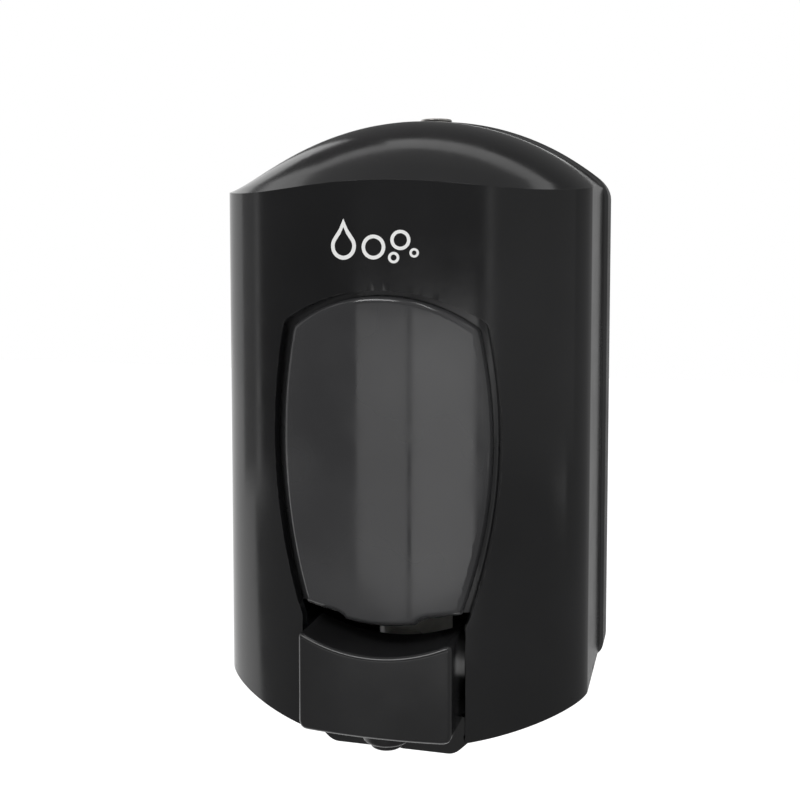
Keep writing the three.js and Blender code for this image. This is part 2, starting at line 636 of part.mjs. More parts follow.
function tank() {
  const shell = tankBody(0, TANK_FACE_INSET);
  const hollow = tankBody(TANK_WALL, TANK_FACE_INSET + TANK_WALL);
  const m = MOUTH_HALF;
  const rimTop = TANK_TOP_Z + MOUTH_RIM;
  const w = TANK_WALL;
  const rim = box(-m - w, m + w, -MOUTH_FRONT - w, -MOUTH_REAR + w, TANK_TOP_Z - 1, rimTop);
  const mouth = box(-m, m, -MOUTH_FRONT, -MOUTH_REAR, TANK_TOP_Z - 10, rimTop + 1);
  const neck = rodZ(NECK_RADIUS, TANK_BOTTOM_Z - NECK_LENGTH, TANK_BOTTOM_Z + 1, 0, PUMP_Y);
  const bore = rodZ(NECK_BORE, TANK_BOTTOM_Z - NECK_LENGTH - 1, TANK_BOTTOM_Z + 5, 0, PUMP_Y);
  return cut(joined(shell, rim, neck, mirrored(lidEar)), hollow, mouth, bore);
}

function tankLid() {
  const rimTop = TANK_TOP_Z + MOUTH_RIM;
  const reach = MOUTH_HALF + TANK_WALL + FIT + LID_SKIRT;
  const front = -MOUTH_FRONT - TANK_WALL - FIT - LID_SKIRT;
  const rear = -MOUTH_REAR + TANK_WALL + FIT;
  const top = rimTop + FIT + LID_THICK;
  const low = TANK_TOP_Z + FIT;
  const plate = box(-reach, reach, front, rear, low, top);
  const room = box(-reach + LID_SKIRT, reach - LID_SKIRT, front + LID_SKIRT, 0, low - 1, rimTop + FIT);
  const neck = box(-LID_KNUCKLE_HALF, LID_KNUCKLE_HALF, rear - 1, LID_PIN_Y, rimTop + FIT, top);
  const knuckle = rodX(2.2, -LID_KNUCKLE_HALF, LID_KNUCKLE_HALF, LID_PIN_Y, rimTop, 20);
  const hole = rodX(LID_PIN_RADIUS + FIT, -WIDE, WIDE, LID_PIN_Y, rimTop, 20);
  const tab = box(-LID_TAB, LID_TAB, front - 2.5, front + 1, top - LID_THICK, top);
  return cut(joined(plate.subtract(room), neck, knuckle, tab), hole);
}

// ---- Pump ----
function pumpHousing() {
  const barrel = rodY(PUMP_RADIUS, -PUMP_FRONT, -PUMP_REAR, 0, PUMP_Z, 40);
  const cupTop = TANK_BOTTOM_Z - COLLAR_WEB - 2 * FIT;
  const cup = rodZ(CUP_RADIUS, PUMP_Z, cupTop, 0, PUMP_Y, 40);
  const lugs = mirrored((side) => {
    const pad = rodZ(4, PUMP_Z - LUG_THICK, PUMP_Z, side * LUG_X, PUMP_Y, 24);
    return pad.add(box(...span(side, 0, LUG_X), PUMP_Y - 4, PUMP_Y + 4, PUMP_Z - LUG_THICK, PUMP_Z));
  });
  const lugHoles = mirrored((side) => (
    rodZ(SCREW_RADIUS + FIT, PUMP_Z - 9, PUMP_Z + 1, side * LUG_X, PUMP_Y, 16)
  ));
  const cupRoom = rodZ(NECK_RADIUS + FIT, CUP_FLOOR_Z, cupTop + 1, 0, PUMP_Y);
  const bore = rodY(BORE_RADIUS, -PUMP_FRONT - 1, -PUMP_REAR - BORE_END, 0, PUMP_Z, 40);
  const chamberTop = CUP_FLOOR_Z - SEAT_THICK;
  const inlet = joined(
    rodZ(PORT_RADIUS, PUMP_Z, CUP_FLOOR_Z + 1, 0, PUMP_Y, 16),
    rodZ(CHAMBER_RADIUS, chamberTop - CHAMBER_HEIGHT, chamberTop, 0, PUMP_Y, 24),
  );
  const outlet = rodZ(PORT_RADIUS, PUMP_Z - PUMP_RADIUS - 1, PUMP_Z, 0, PUMP_Y, 16);
  return cut(joined(barrel, cup, lugs), cupRoom, bore, inlet, outlet, lugHoles);
}

function inletBall() {
  const z = CUP_FLOOR_Z - SEAT_THICK - CHAMBER_HEIGHT + BALL_RADIUS + FIT;
  return solid(new THREE.SphereGeometry(BALL_RADIUS, 16, 10).translate(0, PUMP_Y, z));
}

function outletBall() {
  const z = ARM_TOP_Z - BALL_RADIUS - FIT;
  return solid(new THREE.SphereGeometry(BALL_RADIUS, 16, 10).translate(0, PUMP_Y, z));
}

function ring(outer, inner, z0, z1, x, y) {
  const profile = [at2(inner, z0), at2(outer, z0), at2(outer, z1), at2(inner, z1), at2(inner, z0)];
  return solid(new THREE.LatheGeometry(profile, 36).rotateX(Math.PI / 2).translate(x, y, 0));
}

function neckGasket() {
  return ring(NECK_RADIUS, NECK_BORE, CUP_FLOOR_Z + FIT, CUP_FLOOR_Z + FIT + GASKET, 0, PUMP_Y);
}

function pumpCollar() {
  const top = TANK_BOTTOM_Z - FIT;
  const outer = CUP_RADIUS + FIT + COLLAR_WALL;
  const skirt = ring(outer, CUP_RADIUS + FIT, top - 11, top, 0, PUMP_Y);
  const grips = [];
  for (let i = 0; i < 12; i++) {
    const turn = i * Math.PI / 6;
    const [x, y] = [Math.cos(turn) * outer, Math.sin(turn) * outer];
    grips.push(rodZ(1, top - 10.4, top - 0.6, x, PUMP_Y + y, 6));
  }
  const web = ring(outer - 0.5, NECK_RADIUS + FIT, top - COLLAR_WEB, top, 0, PUMP_Y);
  return joined(skirt, web, ...grips);
}

function pumpEndCap() {
  const y = -PUMP_FRONT - FIT;
  const disc = rodY(PUMP_RADIUS, y - CAP_THICK, y, 0, PUMP_Z, 40);
  const plug = rodY(BORE_RADIUS - FIT, y - 0.5, y + 2.5, 0, PUMP_Z, 40);
  return disc.add(plug).subtract(rodY(ROD_RADIUS + FIT, y - 9, y + 9, 0, PUMP_Z));
}

function piston() {
  const front = -PISTON_FRONT;
  const inner = SEAL_RADIUS - SEAL_THICK - FIT;
  const flange = SEAL_RADIUS - 0.2;
  const sealSpace = SEAL_WIDTH + 2 * FIT;
  return joined(
    rodY(ROD_RADIUS, -HUB_REAR - 4, front + 1, 0, PUMP_Z),
    rodY(flange, front, front + PISTON_FLANGE, 0, PUMP_Z),
    rodY(inner, front + 0.5, front + PISTON_FLANGE + sealSpace + 0.5, 0, PUMP_Z),
    rodY(flange, front + PISTON_FLANGE + sealSpace, front + 2 * PISTON_FLANGE + sealSpace, 0, PUMP_Z),
  );
}

function pistonSeal() {
  const low = -PISTON_FRONT + PISTON_FLANGE + FIT;
  const outer = rodY(SEAL_RADIUS, low, low + SEAL_WIDTH, 0, PUMP_Z, 40);
  return outer.subtract(rodY(SEAL_RADIUS - SEAL_THICK, low - 1, low + SEAL_WIDTH + 1, 0, PUMP_Z, 40));
}

class Coil extends THREE.Curve {
  constructor(radius, length, turns) {
    super();
    Object.assign(this, { radius, length, turns });
  }

  getPoint(t, target = new THREE.Vector3()) {
    const turn = 2 * Math.PI * this.turns * t;
    return target.set(this.radius * Math.cos(turn), this.radius * Math.sin(turn), this.length * t);
  }
}

// A round-wire spring that stands on z = 0.
function spring(radius, wire, length, turns) {
  const path = new Coil(radius, length - 2 * wire, turns);
  const section = new THREE.Shape(new THREE.EllipseCurve(0, 0, wire, wire).getPoints(6).slice(0, 6));
  const g = new THREE.ExtrudeGeometry(section, { steps: turns * 10, extrudePath: path });
  return g.translate(0, 0, wire);
}

function returnSpring() {
  const front = -PISTON_FRONT + 2 * PISTON_FLANGE + SEAL_WIDTH + 3 * FIT;
  const rear = -PUMP_REAR - BORE_END - FIT;
  const turns = Math.round((rear - front) / SPRING_PITCH);
  const g = spring(SPRING_RADIUS, SPRING_WIRE, rear - front, turns);
  return solid(g.rotateX(-Math.PI / 2).translate(0, front, PUMP_Z));
}

// ---- Nozzle: a channel under the pump that ends in a spout below the button ----
function nozzle() {
  const low = ARM_TOP_Z - ARM_HEIGHT;
  const spoutTop = BUTTON_LOW_Z - FIT;
  const arm = joined(
    box(-ARM_HALF, ARM_HALF, ARM_STEP_Y, PUMP_Y + OUTLET_RADIUS, low, ARM_TOP_Z),
    box(-ARM_HALF, ARM_HALF, SPOUT_Y, ARM_STEP_Y + 1, low, spoutTop),
  );
  const spoutLow = spoutTop - SPOUT_HEIGHT;
  const spout = rodZ(SPOUT_RADIUS, spoutLow, spoutTop, 0, SPOUT_Y, 36);
  const tip = rodZ(SPOUT_RADIUS - 2.5, spoutLow - TIP_LENGTH, spoutLow + 1, 0, SPOUT_Y, 28);
  const socket = rodZ(OUTLET_RADIUS, low - SOCKET_DROP, low + 1, 0, PUMP_Y, 28);
  const chamber = rodZ(CHAMBER_RADIUS, ARM_TOP_Z - VALVE_DEPTH, ARM_TOP_Z + 1, 0, PUMP_Y, 24);
  const channelZ = low + 2.4;
  const channel = rodY(CHANNEL_RADIUS, SPOUT_Y, PUMP_Y, 0, channelZ, 16);
  const outlet = rodZ(SPOUT_BORE, spoutLow - TIP_LENGTH - 1, channelZ, 0, SPOUT_Y, 24);
  return cut(joined(arm, spout, tip, socket), chamber, channel, outlet);
}

function outletSpring() {
  const low = ARM_TOP_Z - VALVE_DEPTH + FIT;
  const high = ARM_TOP_Z - 2 * BALL_RADIUS - 2 * FIT;
  const g = spring(VALVE_SPRING_RADIUS, VALVE_SPRING_WIRE, high - low, 3);
  return solid(g.translate(0, PUMP_Y, low));
}

// ---- Button ----
function buttonShape(inset) {
  const half = BUTTON_HALF - inset;
  const top = TANK_BOTTOM_Z - BUTTON_TOP_DROP - inset;
  const low = BUTTON_LOW_Z + inset;
  const r = BUTTON_CORNER - inset / 2;
  const shape = new THREE.Shape();
  shape.moveTo(-half + r, low);
  shape.lineTo(half - r, low);
  shape.quadraticCurveTo(half, low, half, low + r);
  shape.lineTo(half, top - 1);
  arcThrough(at2(half - 1, top), at2(0, top - BUTTON_TOP_SAG), at2(-half + 1, top))
    .forEach((p) => shape.lineTo(p.x, p.y));
  shape.lineTo(-half, top - 1);
  shape.lineTo(-half, low + r);
  shape.quadraticCurveTo(-half, low, -half + r, low);
  return shape;
}

function pushButton() {
  const edge = -BUTTON_FACE + BUTTON_CROWN;
  const face = new THREE.Shape([
    at2(BUTTON_HALF + 1, 0), at2(-BUTTON_HALF - 1, 0),
    ...arcThrough(at2(-BUTTON_HALF - 1, edge), at2(0, -BUTTON_FACE), at2(BUTTON_HALF + 1, edge), 24),
  ]);
  const block = prismY(buttonShape(0), -BUTTON_REAR, -WIDE).intersect(prismZ(face, -WIDE, WIDE));
  const hollow = prismY(buttonShape(BUTTON_WALL), 0, edge + BUTTON_WALL);
  const hub = rodY(BUTTON_HUB, edge + 1, -HUB_REAR, 0, PUMP_Z);
  const socket = rodY(ROD_RADIUS + FIT, -HUB_REAR - 4 - FIT, 0, 0, PUMP_Z);
  const barrelRoom = PUMP_RADIUS + 1;
  const relief = box(-barrelRoom, barrelRoom, -PUMP_FRONT - CAP_THICK - BUTTON_TRAVEL - 1, 0,
    BUTTON_LOW_Z - 1, BUTTON_LOW_Z + BUTTON_WALL + 1);
  return cut(block, hollow, relief).add(hub).subtract(socket);
}

// ---- Tray that closes the bottom and carries the pump ----
function trayShape(inset) {
  const low = TRAY_LOW_Z + inset;
  const knee = PUMP_Z - TRAY_KNEE + inset / 2;
  const half = TRAY_TOP_HALF - inset;
  const foot = TRAY_LOW_HALF - inset / 2;
  return new THREE.Shape([
    at2(-foot, low), at2(foot, low), at2(half, knee), at2(half, PUMP_Z - TRAY_SIDE + 2 * inset),
    at2(-half, PUMP_Z - TRAY_SIDE + 2 * inset), at2(-half, knee),
  ]);
}

function bottomTray() {
  const shell = prismY(trayShape(0), -TRAY_REAR, -TRAY_FRONT)
    .subtract(prismY(trayShape(TRAY_WALL), -TRAY_REAR - TRAY_WALL, -TRAY_FRONT + TRAY_WALL));
  const frontCut = box(-WIDE, WIDE, -WIDE, -TRAY_FRONT + 6, BUTTON_LOW_Z - FIT, WIDE);
  const armSide = ARM_HALF + FIT;
  const armLow = ARM_TOP_Z - ARM_HEIGHT - FIT;
  const armCut = box(-armSide, armSide, -WIDE, -TRAY_FRONT + 6, armLow, WIDE);
  const spoutCut = rodZ(SPOUT_RADIUS + FIT, -WIDE, WIDE, 0, SPOUT_Y, 36);
  const floor = TRAY_LOW_Z + TRAY_WALL / 2;
  const posts = mirrored((side) => (
    rodZ(3.6, floor, PUMP_Z - LUG_THICK - FIT, side * LUG_X, PUMP_Y, 24)
      .subtract(rodZ(SCREW_RADIUS + FIT, PUMP_Z - 13, PUMP_Z, side * LUG_X, PUMP_Y, 16))
  ));
  const guides = mirrored((side) => {
    const [x0, x1] = span(side, BUTTON_HALF + FIT, TRAY_TOP_HALF - TRAY_WALL / 2);
    const y0 = -TRAY_FRONT + TRAY_WALL / 2;
    return box(x0, x1, y0, y0 + 16, PUMP_Z - TRAY_KNEE, PUMP_Z - TRAY_SIDE);
  });
  const screwHoles = mirrored((side) => (
    rodY(SCREW_RADIUS + FIT, -TRAY_REAR - 5, 0, side * TRAY_SCREW_X, PUMP_Z - TRAY_SCREW_DROP, 16)
  ));
  const carrier = cut(joined(cut(shell, frontCut), guides), armCut, spoutCut);
  return carrier.add(posts).subtract(screwHoles);
}

function trayScrew(side) {
  const face = -TRAY_REAR - TRAY_WALL - FIT;
  const [x, z] = [side * TRAY_SCREW_X, PUMP_Z - TRAY_SCREW_DROP];
  const head = rodY(SCREW_HEAD_RADIUS, face - SCREW_HEAD, face, x, z, 20);
  const shank = rodY(SCREW_RADIUS, face - 0.5, -PLATE_PANEL - FIT, x, z, 14);
  return head.add(shank);
}

function pumpScrew(side) {
  const seat = PUMP_Z + FIT;
  const head = rodZ(SCREW_HEAD_RADIUS, seat, seat + SCREW_HEAD, side * LUG_X, PUMP_Y, 20);
  return head.add(rodZ(SCREW_RADIUS, PUMP_Z - 11, seat + 0.5, side * LUG_X, PUMP_Y, 14));
}

// ---- Assembly ----
addPart('wall_plate', wallPlate(), SATIN_BLACK, 0.45);
addPart('front_cover', frontCover(), GLOSS_BLACK, 0.12);
addPart('hinge_pin_left', hingePin(-1), STEEL, 0.35, 1);
addPart('hinge_pin_right', hingePin(1), STEEL, 0.35, 1);
addPart('lock_barrel', lockBarrel(), STEEL, 0.3, 1);
addPart('lock_cam', lockCam(), STEEL, 0.4, 1);
addPart('lock_screw', lockScrew(), STEEL, 0.35, 1);
addPart('tank', tank(), SMOKE, 0.1);
addPart('tank_lid', tankLid(), SATIN_BLACK, 0.4);
addPart('lid_pin', rodX(LID_PIN_RADIUS, -LID_KNUCKLE_HALF - LID_EAR - LID_GAP,
  LID_KNUCKLE_HALF + LID_EAR + LID_GAP, LID_PIN_Y, TANK_TOP_Z + MOUTH_RIM, 16), STEEL, 0.35, 1);
addPart('push_button', pushButton(), BUTTON_BLACK, 0.25);
addPart('piston', piston(), NATURAL_WHITE, 0.5);
addPart('piston_seal', pistonSeal(), RUBBER_GREY, 0.8);
addPart('return_spring', returnSpring(), STEEL, 0.3, 1);
addPart('pump_housing', pumpHousing(), NATURAL_WHITE, 0.5);
addPart('pump_end_cap', pumpEndCap(), NATURAL_WHITE, 0.5);
addPart('pump_collar', pumpCollar(), SATIN_BLACK, 0.5);
addPart('neck_gasket', neckGasket(), RUBBER_GREY, 0.8);
addPart('inlet_ball', inletBall(), STEEL, 0.15, 1);
addPart('outlet_ball', outletBall(), STEEL, 0.15, 1);
addPart('outlet_spring', outletSpring(), STEEL, 0.3, 1);
addPart('nozzle', nozzle(), SATIN_BLACK, 0.4);
addPart('bottom_tray', bottomTray(), SATIN_BLACK, 0.4);
addPart('tray_screw_left', trayScrew(-1), STEEL, 0.35, 1);
addPart('tray_screw_right', trayScrew(1), STEEL, 0.35, 1);
addPart('pump_screw_left', pumpScrew(-1), STEEL, 0.35, 1);
addPart('pump_screw_right', pumpScrew(1), STEEL, 0.35, 1);

export default group;
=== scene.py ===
# Wall-mounted liquid soap dispenser: the finished surfaces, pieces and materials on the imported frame.
# Lengths in the making of each piece are millimetres, and put_together() turns them into metres.

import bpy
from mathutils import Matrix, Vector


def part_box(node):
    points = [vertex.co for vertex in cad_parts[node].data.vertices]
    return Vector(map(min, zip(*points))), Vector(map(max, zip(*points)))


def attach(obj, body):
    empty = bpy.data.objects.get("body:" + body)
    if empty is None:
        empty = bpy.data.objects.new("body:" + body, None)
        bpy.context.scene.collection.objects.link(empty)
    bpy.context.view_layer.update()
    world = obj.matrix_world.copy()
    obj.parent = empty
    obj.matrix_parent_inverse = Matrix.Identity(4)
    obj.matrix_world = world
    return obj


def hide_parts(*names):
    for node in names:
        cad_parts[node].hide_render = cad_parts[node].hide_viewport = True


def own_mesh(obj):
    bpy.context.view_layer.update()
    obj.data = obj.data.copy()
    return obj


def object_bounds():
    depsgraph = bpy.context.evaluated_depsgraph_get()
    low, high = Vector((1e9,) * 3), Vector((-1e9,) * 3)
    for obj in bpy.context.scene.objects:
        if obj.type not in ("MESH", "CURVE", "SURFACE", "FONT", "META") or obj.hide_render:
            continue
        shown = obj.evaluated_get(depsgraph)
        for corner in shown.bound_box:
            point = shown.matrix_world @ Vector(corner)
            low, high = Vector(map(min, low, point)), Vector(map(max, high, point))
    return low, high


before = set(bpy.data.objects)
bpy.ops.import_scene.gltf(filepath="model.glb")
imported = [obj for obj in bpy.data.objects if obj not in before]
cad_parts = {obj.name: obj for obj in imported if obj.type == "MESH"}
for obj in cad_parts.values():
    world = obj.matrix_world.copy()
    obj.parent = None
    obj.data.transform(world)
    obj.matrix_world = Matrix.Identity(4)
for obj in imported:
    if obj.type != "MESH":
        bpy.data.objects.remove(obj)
cad_box = [list(corner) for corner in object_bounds()]

import math
from bisect import bisect

import bmesh
import bpy
from mathutils import Matrix, Vector
from mathutils.geometry import delaunay_2d_cdt

# ------------------------------
# Camera, room and lights. A level studio with a pale floor well below the hanging dispenser. The background
# and floor show white to the lens and in reflections; grey cards at the sides give black plastic its edges.
# ------------------------------
scene = bpy.context.scene
scene.view_settings.view_transform = "Standard"

camera = bpy.data.objects.new("camera", bpy.data.cameras.new("camera"))
scene.collection.objects.link(camera)
scene.camera = camera
camera.location = (0.0933, -0.4109, 0.0545)
camera.rotation_euler = (math.radians(86.25), 0, math.radians(14.84))
camera.data.lens = 51.47
camera.data.shift_y = -0.1
camera.data.clip_start = 0.01


def seen_white(tree, light_level, white=1.0):
    """An emission that is white to the lens, in gloss and through glass, and light_level to all else."""
    path = tree.nodes.new("ShaderNodeLightPath")
    seen = path.outputs["Is Camera Ray"]
    for other in ("Is Glossy Ray", "Is Transmission Ray"):
        larger = tree.nodes.new("ShaderNodeMath")
        larger.operation = "MAXIMUM"
        tree.links.new(seen, larger.inputs[0])
        tree.links.new(path.outputs[other], larger.inputs[1])
        seen = larger.outputs[0]
    level = tree.nodes.new("ShaderNodeMapRange")
    level.inputs["To Min"].default_value = light_level
    level.inputs["To Max"].default_value = white
    tree.links.new(seen, level.inputs["Value"])
    return level.outputs["Result"]


world = bpy.data.worlds.new("studio")
scene.world = world
world.use_nodes = True
background = world.node_tree.nodes["Background"]
background.inputs["Color"].default_value = (1, 1, 1, 1)
world.node_tree.links.new(seen_white(world.node_tree, 0.5), background.inputs["Strength"])


def studio_card(name, centre, size, facing, level):
    """A card that only gloss sees, like the flags and panels round a product table."""
    mesh = bpy.data.meshes.new(name)
    w, h = size[0] / 2, size[1] / 2
    mesh.from_pydata([(-w, -h, 0), (w, -h, 0), (w, h, 0), (-w, h, 0)], [], [(0, 1, 2, 3)])
    card = bpy.data.objects.new(name, mesh)
    scene.collection.objects.link(card)
    card.location = centre
    card.rotation_euler = (Vector(facing) - Vector(centre)).to_track_quat("Z", "Y").to_euler()
    material = bpy.data.materials.new(name)
    material.use_nodes = True
    tree = material.node_tree
    tree.nodes.clear()
    glow = tree.nodes.new("ShaderNodeEmission")
    glow.inputs["Color"].default_value = (level, level, level, 1)
    output = tree.nodes.new("ShaderNodeOutputMaterial")
    tree.links.new(glow.outputs[0], output.inputs["Surface"])
    mesh.materials.append(material)
    for ray in ("camera", "diffuse", "transmission", "shadow", "volume_scatter"):
        setattr(card, "visible_" + ray, False)
    return card


def soft_lamp(name, place, aim, size, power):
    lamp = bpy.data.objects.new(name, bpy.data.lights.new(name, "AREA"))
    scene.collection.objects.link(lamp)
    lamp.data.shape = "RECTANGLE"
    lamp.data.size, lamp.data.size_y = size
    lamp.data.energy = power
    lamp.location = place
    lamp.visible_glossy = False
    lamp.rotation_euler = (Vector(place) - Vector(aim)).to_track_quat("Z", "Y").to_euler()
    return lamp


studio_card("card_front", (0, -2.2, 0.2), (2.6, 3.2), (0, 0, 0), 0.2)
studio_card("card_front_left", (-1.6, -1.2, 0.1), (1.9, 3.0), (0, 0, 0), 0.18)
studio_card("card_left", (-2.15, -0.02, 0.1), (0.6, 3.0), (0, 0, 0), 0.42)
studio_card("card_right", (1.9, -0.9, 0.1), (2.6, 3.0), (0, 0, 0), 0.42)
studio_card("card_right_rear", (1.75, 1.2, 0.1), (2.4, 3.0), (0, 0, 0), 0.32)
studio_card("card_rear_right", (0.95, 2.1, 0.0), (2.0, 0.95), (0.95, 0, 0), 0.3)
studio_card("card_rear_high", (0.64, 2.1, 1.65), (3.52, 2.3), (0.64, 0, 1.65), 0.12)
studio_card("card_rear_high_left", (-1.7, 2.1, 2.4), (1.2, 1.5), (-1.7, 0, 2.4), 0.12)
studio_card("card_low_rear", (1.2, 0.9, -0.42), (2.2, 2.2), (1.2, 0.9, 0), 0.3)
studio_card("card_top", (0, -0.4, 1.9), (3.4, 3.0), (0, 0, 0), 0.35)
studio_card("card_low", (0, -1.15, -0.42), (3.6, 1.9), (0, -1.15, 0), 0.3)
studio_card("panel_low_left", (-0.31, -1.2, -0.235), (0.6, 0.41), (-0.31, 0, -0.235), 1.2)
studio_card("panel_low_right", (0.303, -1.2, -0.235), (0.554, 0.41), (0.303, 0, -0.235), 1.6)
studio_card("panel_high_left", (-0.45, -1.0, 1.05), (0.85, 0.4), (0, 0, 0), 7.0)
studio_card("panel_high_right", (0.3, -0.5, 1.3), (0.12, 1.1), (0, 0, 0), 6.0)
soft_lamp("key", (-0.55, -0.75, 0.95), (0, -0.03, 0), (0.5, 0.35), 7)
soft_lamp("fill", (0.9, -0.7, 0.25), (0, -0.03, 0), (0.35, 0.7), 2.5)

floor_mesh = bpy.data.meshes.new("floor")
floor_mesh.from_pydata([(-4, -4, 0), (4, -4, 0), (4, 4, 0), (-4, 4, 0)], [], [(0, 1, 2, 3)])
floor = bpy.data.objects.new("floor", floor_mesh)
floor.location.z = cad_box[0][2] - 0.35
scene.collection.objects.link(floor)
floor_paint = bpy.data.materials.new("floor_paint")
floor_paint.use_nodes = True
floor_paint.node_tree.nodes["Principled BSDF"].inputs["Base Color"].default_value = (0.9, 0.9, 0.9, 1)
floor_shader = floor_paint.node_tree.nodes["Principled BSDF"]
floor_shader.inputs["Roughness"].default_value = 0.7
floor_shader.inputs["Emission Color"].default_value = (1, 1, 1, 1)
floor_paint.node_tree.links.new(
    seen_white(floor_paint.node_tree, 0.0, 0.62), floor_shader.inputs["Emission Strength"])
floor_mesh.materials.append(floor_paint)

# ------------------------------
# Front cover. A 2.4 mm shell of polished black ABS, moulded in one piece: straight sides, a bowed front, a
# domed roof behind a softened crease, a window for the tank, and a neck below it that the button sits in.
# ------------------------------
MM = 0.001


def put_together(name, form, body, slot, material, *replaced, crease=38):
    """Makes a piece from a form in millimetres, gives it its finish, and hangs it on its body."""
    bmesh.ops.recalc_face_normals(form, faces=form.faces)
    bmesh.ops.scale(form, vec=(MM, MM, MM), verts=form.verts)
    mesh = bpy.data.meshes.new(name)
    form.to_mesh(mesh)
    form.free()
    mesh.polygons.foreach_set("use_smooth", [True] * len(mesh.polygons))
    mesh.set_sharp_from_angle(angle=math.radians(crease))
    piece = bpy.data.objects.new(name, mesh)
    scene.collection.objects.link(piece)
    mesh.materials.append(material)
    piece.modifiers.new("even_flats", "WEIGHTED_NORMAL").keep_sharp = True
    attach(piece, body)
    if replaced:
        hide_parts(*replaced)
    return piece


def soften(piece, width, steps=3, angle=35):
    """Rounds the hard edges by width, in millimetres."""
    bevel = piece.modifiers.new("soften", "BEVEL")
    bevel.width = width * MM
    bevel.segments = steps
    bevel.limit_method = "ANGLE"
    bevel.angle_limit = math.radians(angle)
    piece.modifiers.new("normals", "WEIGHTED_NORMAL").keep_sharp = True


def shader(name, colour, roughness, **sockets):
    """A new material and its Principled shader, with what is the same all over set on its own sockets."""
    material = bpy.data.materials.new(name)
    material.use_nodes = True
    bsdf = material.node_tree.nodes["Principled BSDF"]
    bsdf.inputs["Base Color"].default_value = (*colour, 1)
    bsdf.inputs["Roughness"].default_value = roughness
    for socket, value in sockets.items():
        bsdf.inputs[socket.replace("_", " ")].default_value = value
    return material, bsdf


def noise(tree, scale, detail=3, stretch=(1, 1, 1)):
    """Noise fixed to the piece, with scale in grains a metre."""
    place = tree.nodes.new("ShaderNodeTexCoord")
    mapping = tree.nodes.new("ShaderNodeMapping")
    mapping.inputs["Scale"].default_value = stretch
    grain = tree.nodes.new("ShaderNodeTexNoise")
    grain.inputs["Scale"].default_value = scale
    grain.inputs["Detail"].default_value = detail
    tree.links.new(place.outputs["Object"], mapping.inputs["Vector"])
    tree.links.new(mapping.outputs["Vector"], grain.inputs["Vector"])
    return grain.outputs["Fac"]


def spread(tree, value, low, high, out_low, out_high):
    level = tree.nodes.new("ShaderNodeMapRange")
    for socket, number in zip(("From Min", "From Max", "To Min", "To Max"), (low, high, out_low, out_high)):
        level.inputs[socket].default_value = number
    tree.links.new(value, level.inputs["Value"])
    return level.outputs["Result"]


def tint(tree, value, dark, light):
    """A colour between dark and light, picked by value."""
    mix = tree.nodes.new("ShaderNodeMix")
    mix.data_type = "RGBA"
    tree.links.new(value, mix.inputs["Factor"])
    mix.inputs[6].default_value = (*dark, 1)
    mix.inputs[7].default_value = (*light, 1)
    return mix.outputs[2]


def painted_edge_highlight_mask(tree, radius):
    """Painted edge highlight: 1 on rounded edges, 0 on open faces, broken up by noise so it is uneven."""
    rounded = tree.nodes.new("ShaderNodeBevel")
    rounded.inputs["Radius"].default_value = radius * MM
    rounded.samples = 4
    true_face = tree.nodes.new("ShaderNodeNewGeometry")
    match = tree.nodes.new("ShaderNodeVectorMath")
    match.operation = "DOT_PRODUCT"
    tree.links.new(rounded.outputs["Normal"], match.inputs[0])
    tree.links.new(true_face.outputs["Normal"], match.inputs[1])
    edge = spread(tree, match.outputs["Value"], 0.985, 0.9, 0, 1)
    patchy = spread(tree, noise(tree, 260, 4), 0.45, 0.62, 0, 1)
    both = tree.nodes.new("ShaderNodeMath")
    both.operation = "MULTIPLY"
    tree.links.new(edge, both.inputs[0])
    tree.links.new(patchy, both.inputs[1])
    return both.outputs[0]


def bump(tree, bsdf, height, distance, strength=1.0):
    node = tree.nodes.new("ShaderNodeBump")
    node.inputs["Distance"].default_value = distance * MM
    node.inputs["Strength"].default_value = strength
    tree.links.new(height, node.inputs["Height"])
    tree.links.new(node.outputs["Normal"], bsdf.inputs["Normal"])


def moulded_black(name, colour, roughness, grain, depth, painted_highlight_lift):
    """Moulded black plastic: slow colour drift, uneven gloss, a fine skin, and painted highlight on edges."""
    material, bsdf = shader(name, colour, roughness, IOR=1.5)
    tree = material.node_tree
    dull = tuple(c * 0.8 for c in colour)
    pale = tuple(c * 1.25 for c in colour)
    plain = tint(tree, spread(tree, noise(tree, 24, 2), 0.35, 0.65, 0, 1), dull, pale)
    # Painted highlight: on edges that the bevel mask finds, the base colour is lifted paler by the last
    # argument.
    painted_edge_highlight = tree.nodes.new("ShaderNodeMix")
    painted_edge_highlight.data_type = "RGBA"
    tree.links.new(painted_edge_highlight_mask(tree, 0.5), painted_edge_highlight.inputs["Factor"])
    tree.links.new(plain, painted_edge_highlight.inputs[6])
    painted_edge_highlight.inputs[7].default_value = (*(c + painted_highlight_lift for c in colour), 1)
    tree.links.new(painted_edge_highlight.outputs[2], bsdf.inputs["Base Color"])
    gloss = spread(tree, noise(tree, 90, 5), 0.3, 0.7, roughness * 0.85, roughness * 1.2)
    tree.links.new(gloss, bsdf.inputs["Roughness"])
    bump(tree, bsdf, noise(tree, grain, 2), depth)
    return material


gloss_black = moulded_black("gloss_black_abs", (0.0065, 0.0065, 0.007), 0.14, 350, 0.006, 0.02)

COVER_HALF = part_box("front_cover")[1].x / MM
COVER_FACE = -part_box("front_cover")[0].y / MM
COVER_REAR = 16.0
SIDE_DEPTH = 52.5
BOW_POWER = 1.78
COVER_WALL = 2.4
SHOULDER_Z = 72.0
CREASE_RISE = 1.9
CREASE_WAVE = -7.4
ARCH_RADIUS = 90.1
ARCH_CENTRE_Z = SHOULDER_Z + 1.7 - math.sqrt(ARCH_RADIUS ** 2 - COVER_HALF ** 2)
ROOF_POWER = 2.8
BOTTOM_Z = -87.2
BOTTOM_SAG = 11.1
FLOOR_FRONT = 35.0
TRAY_ROOM_HALF = 31.0
TRAY_ROOM_FRONT = 73.0


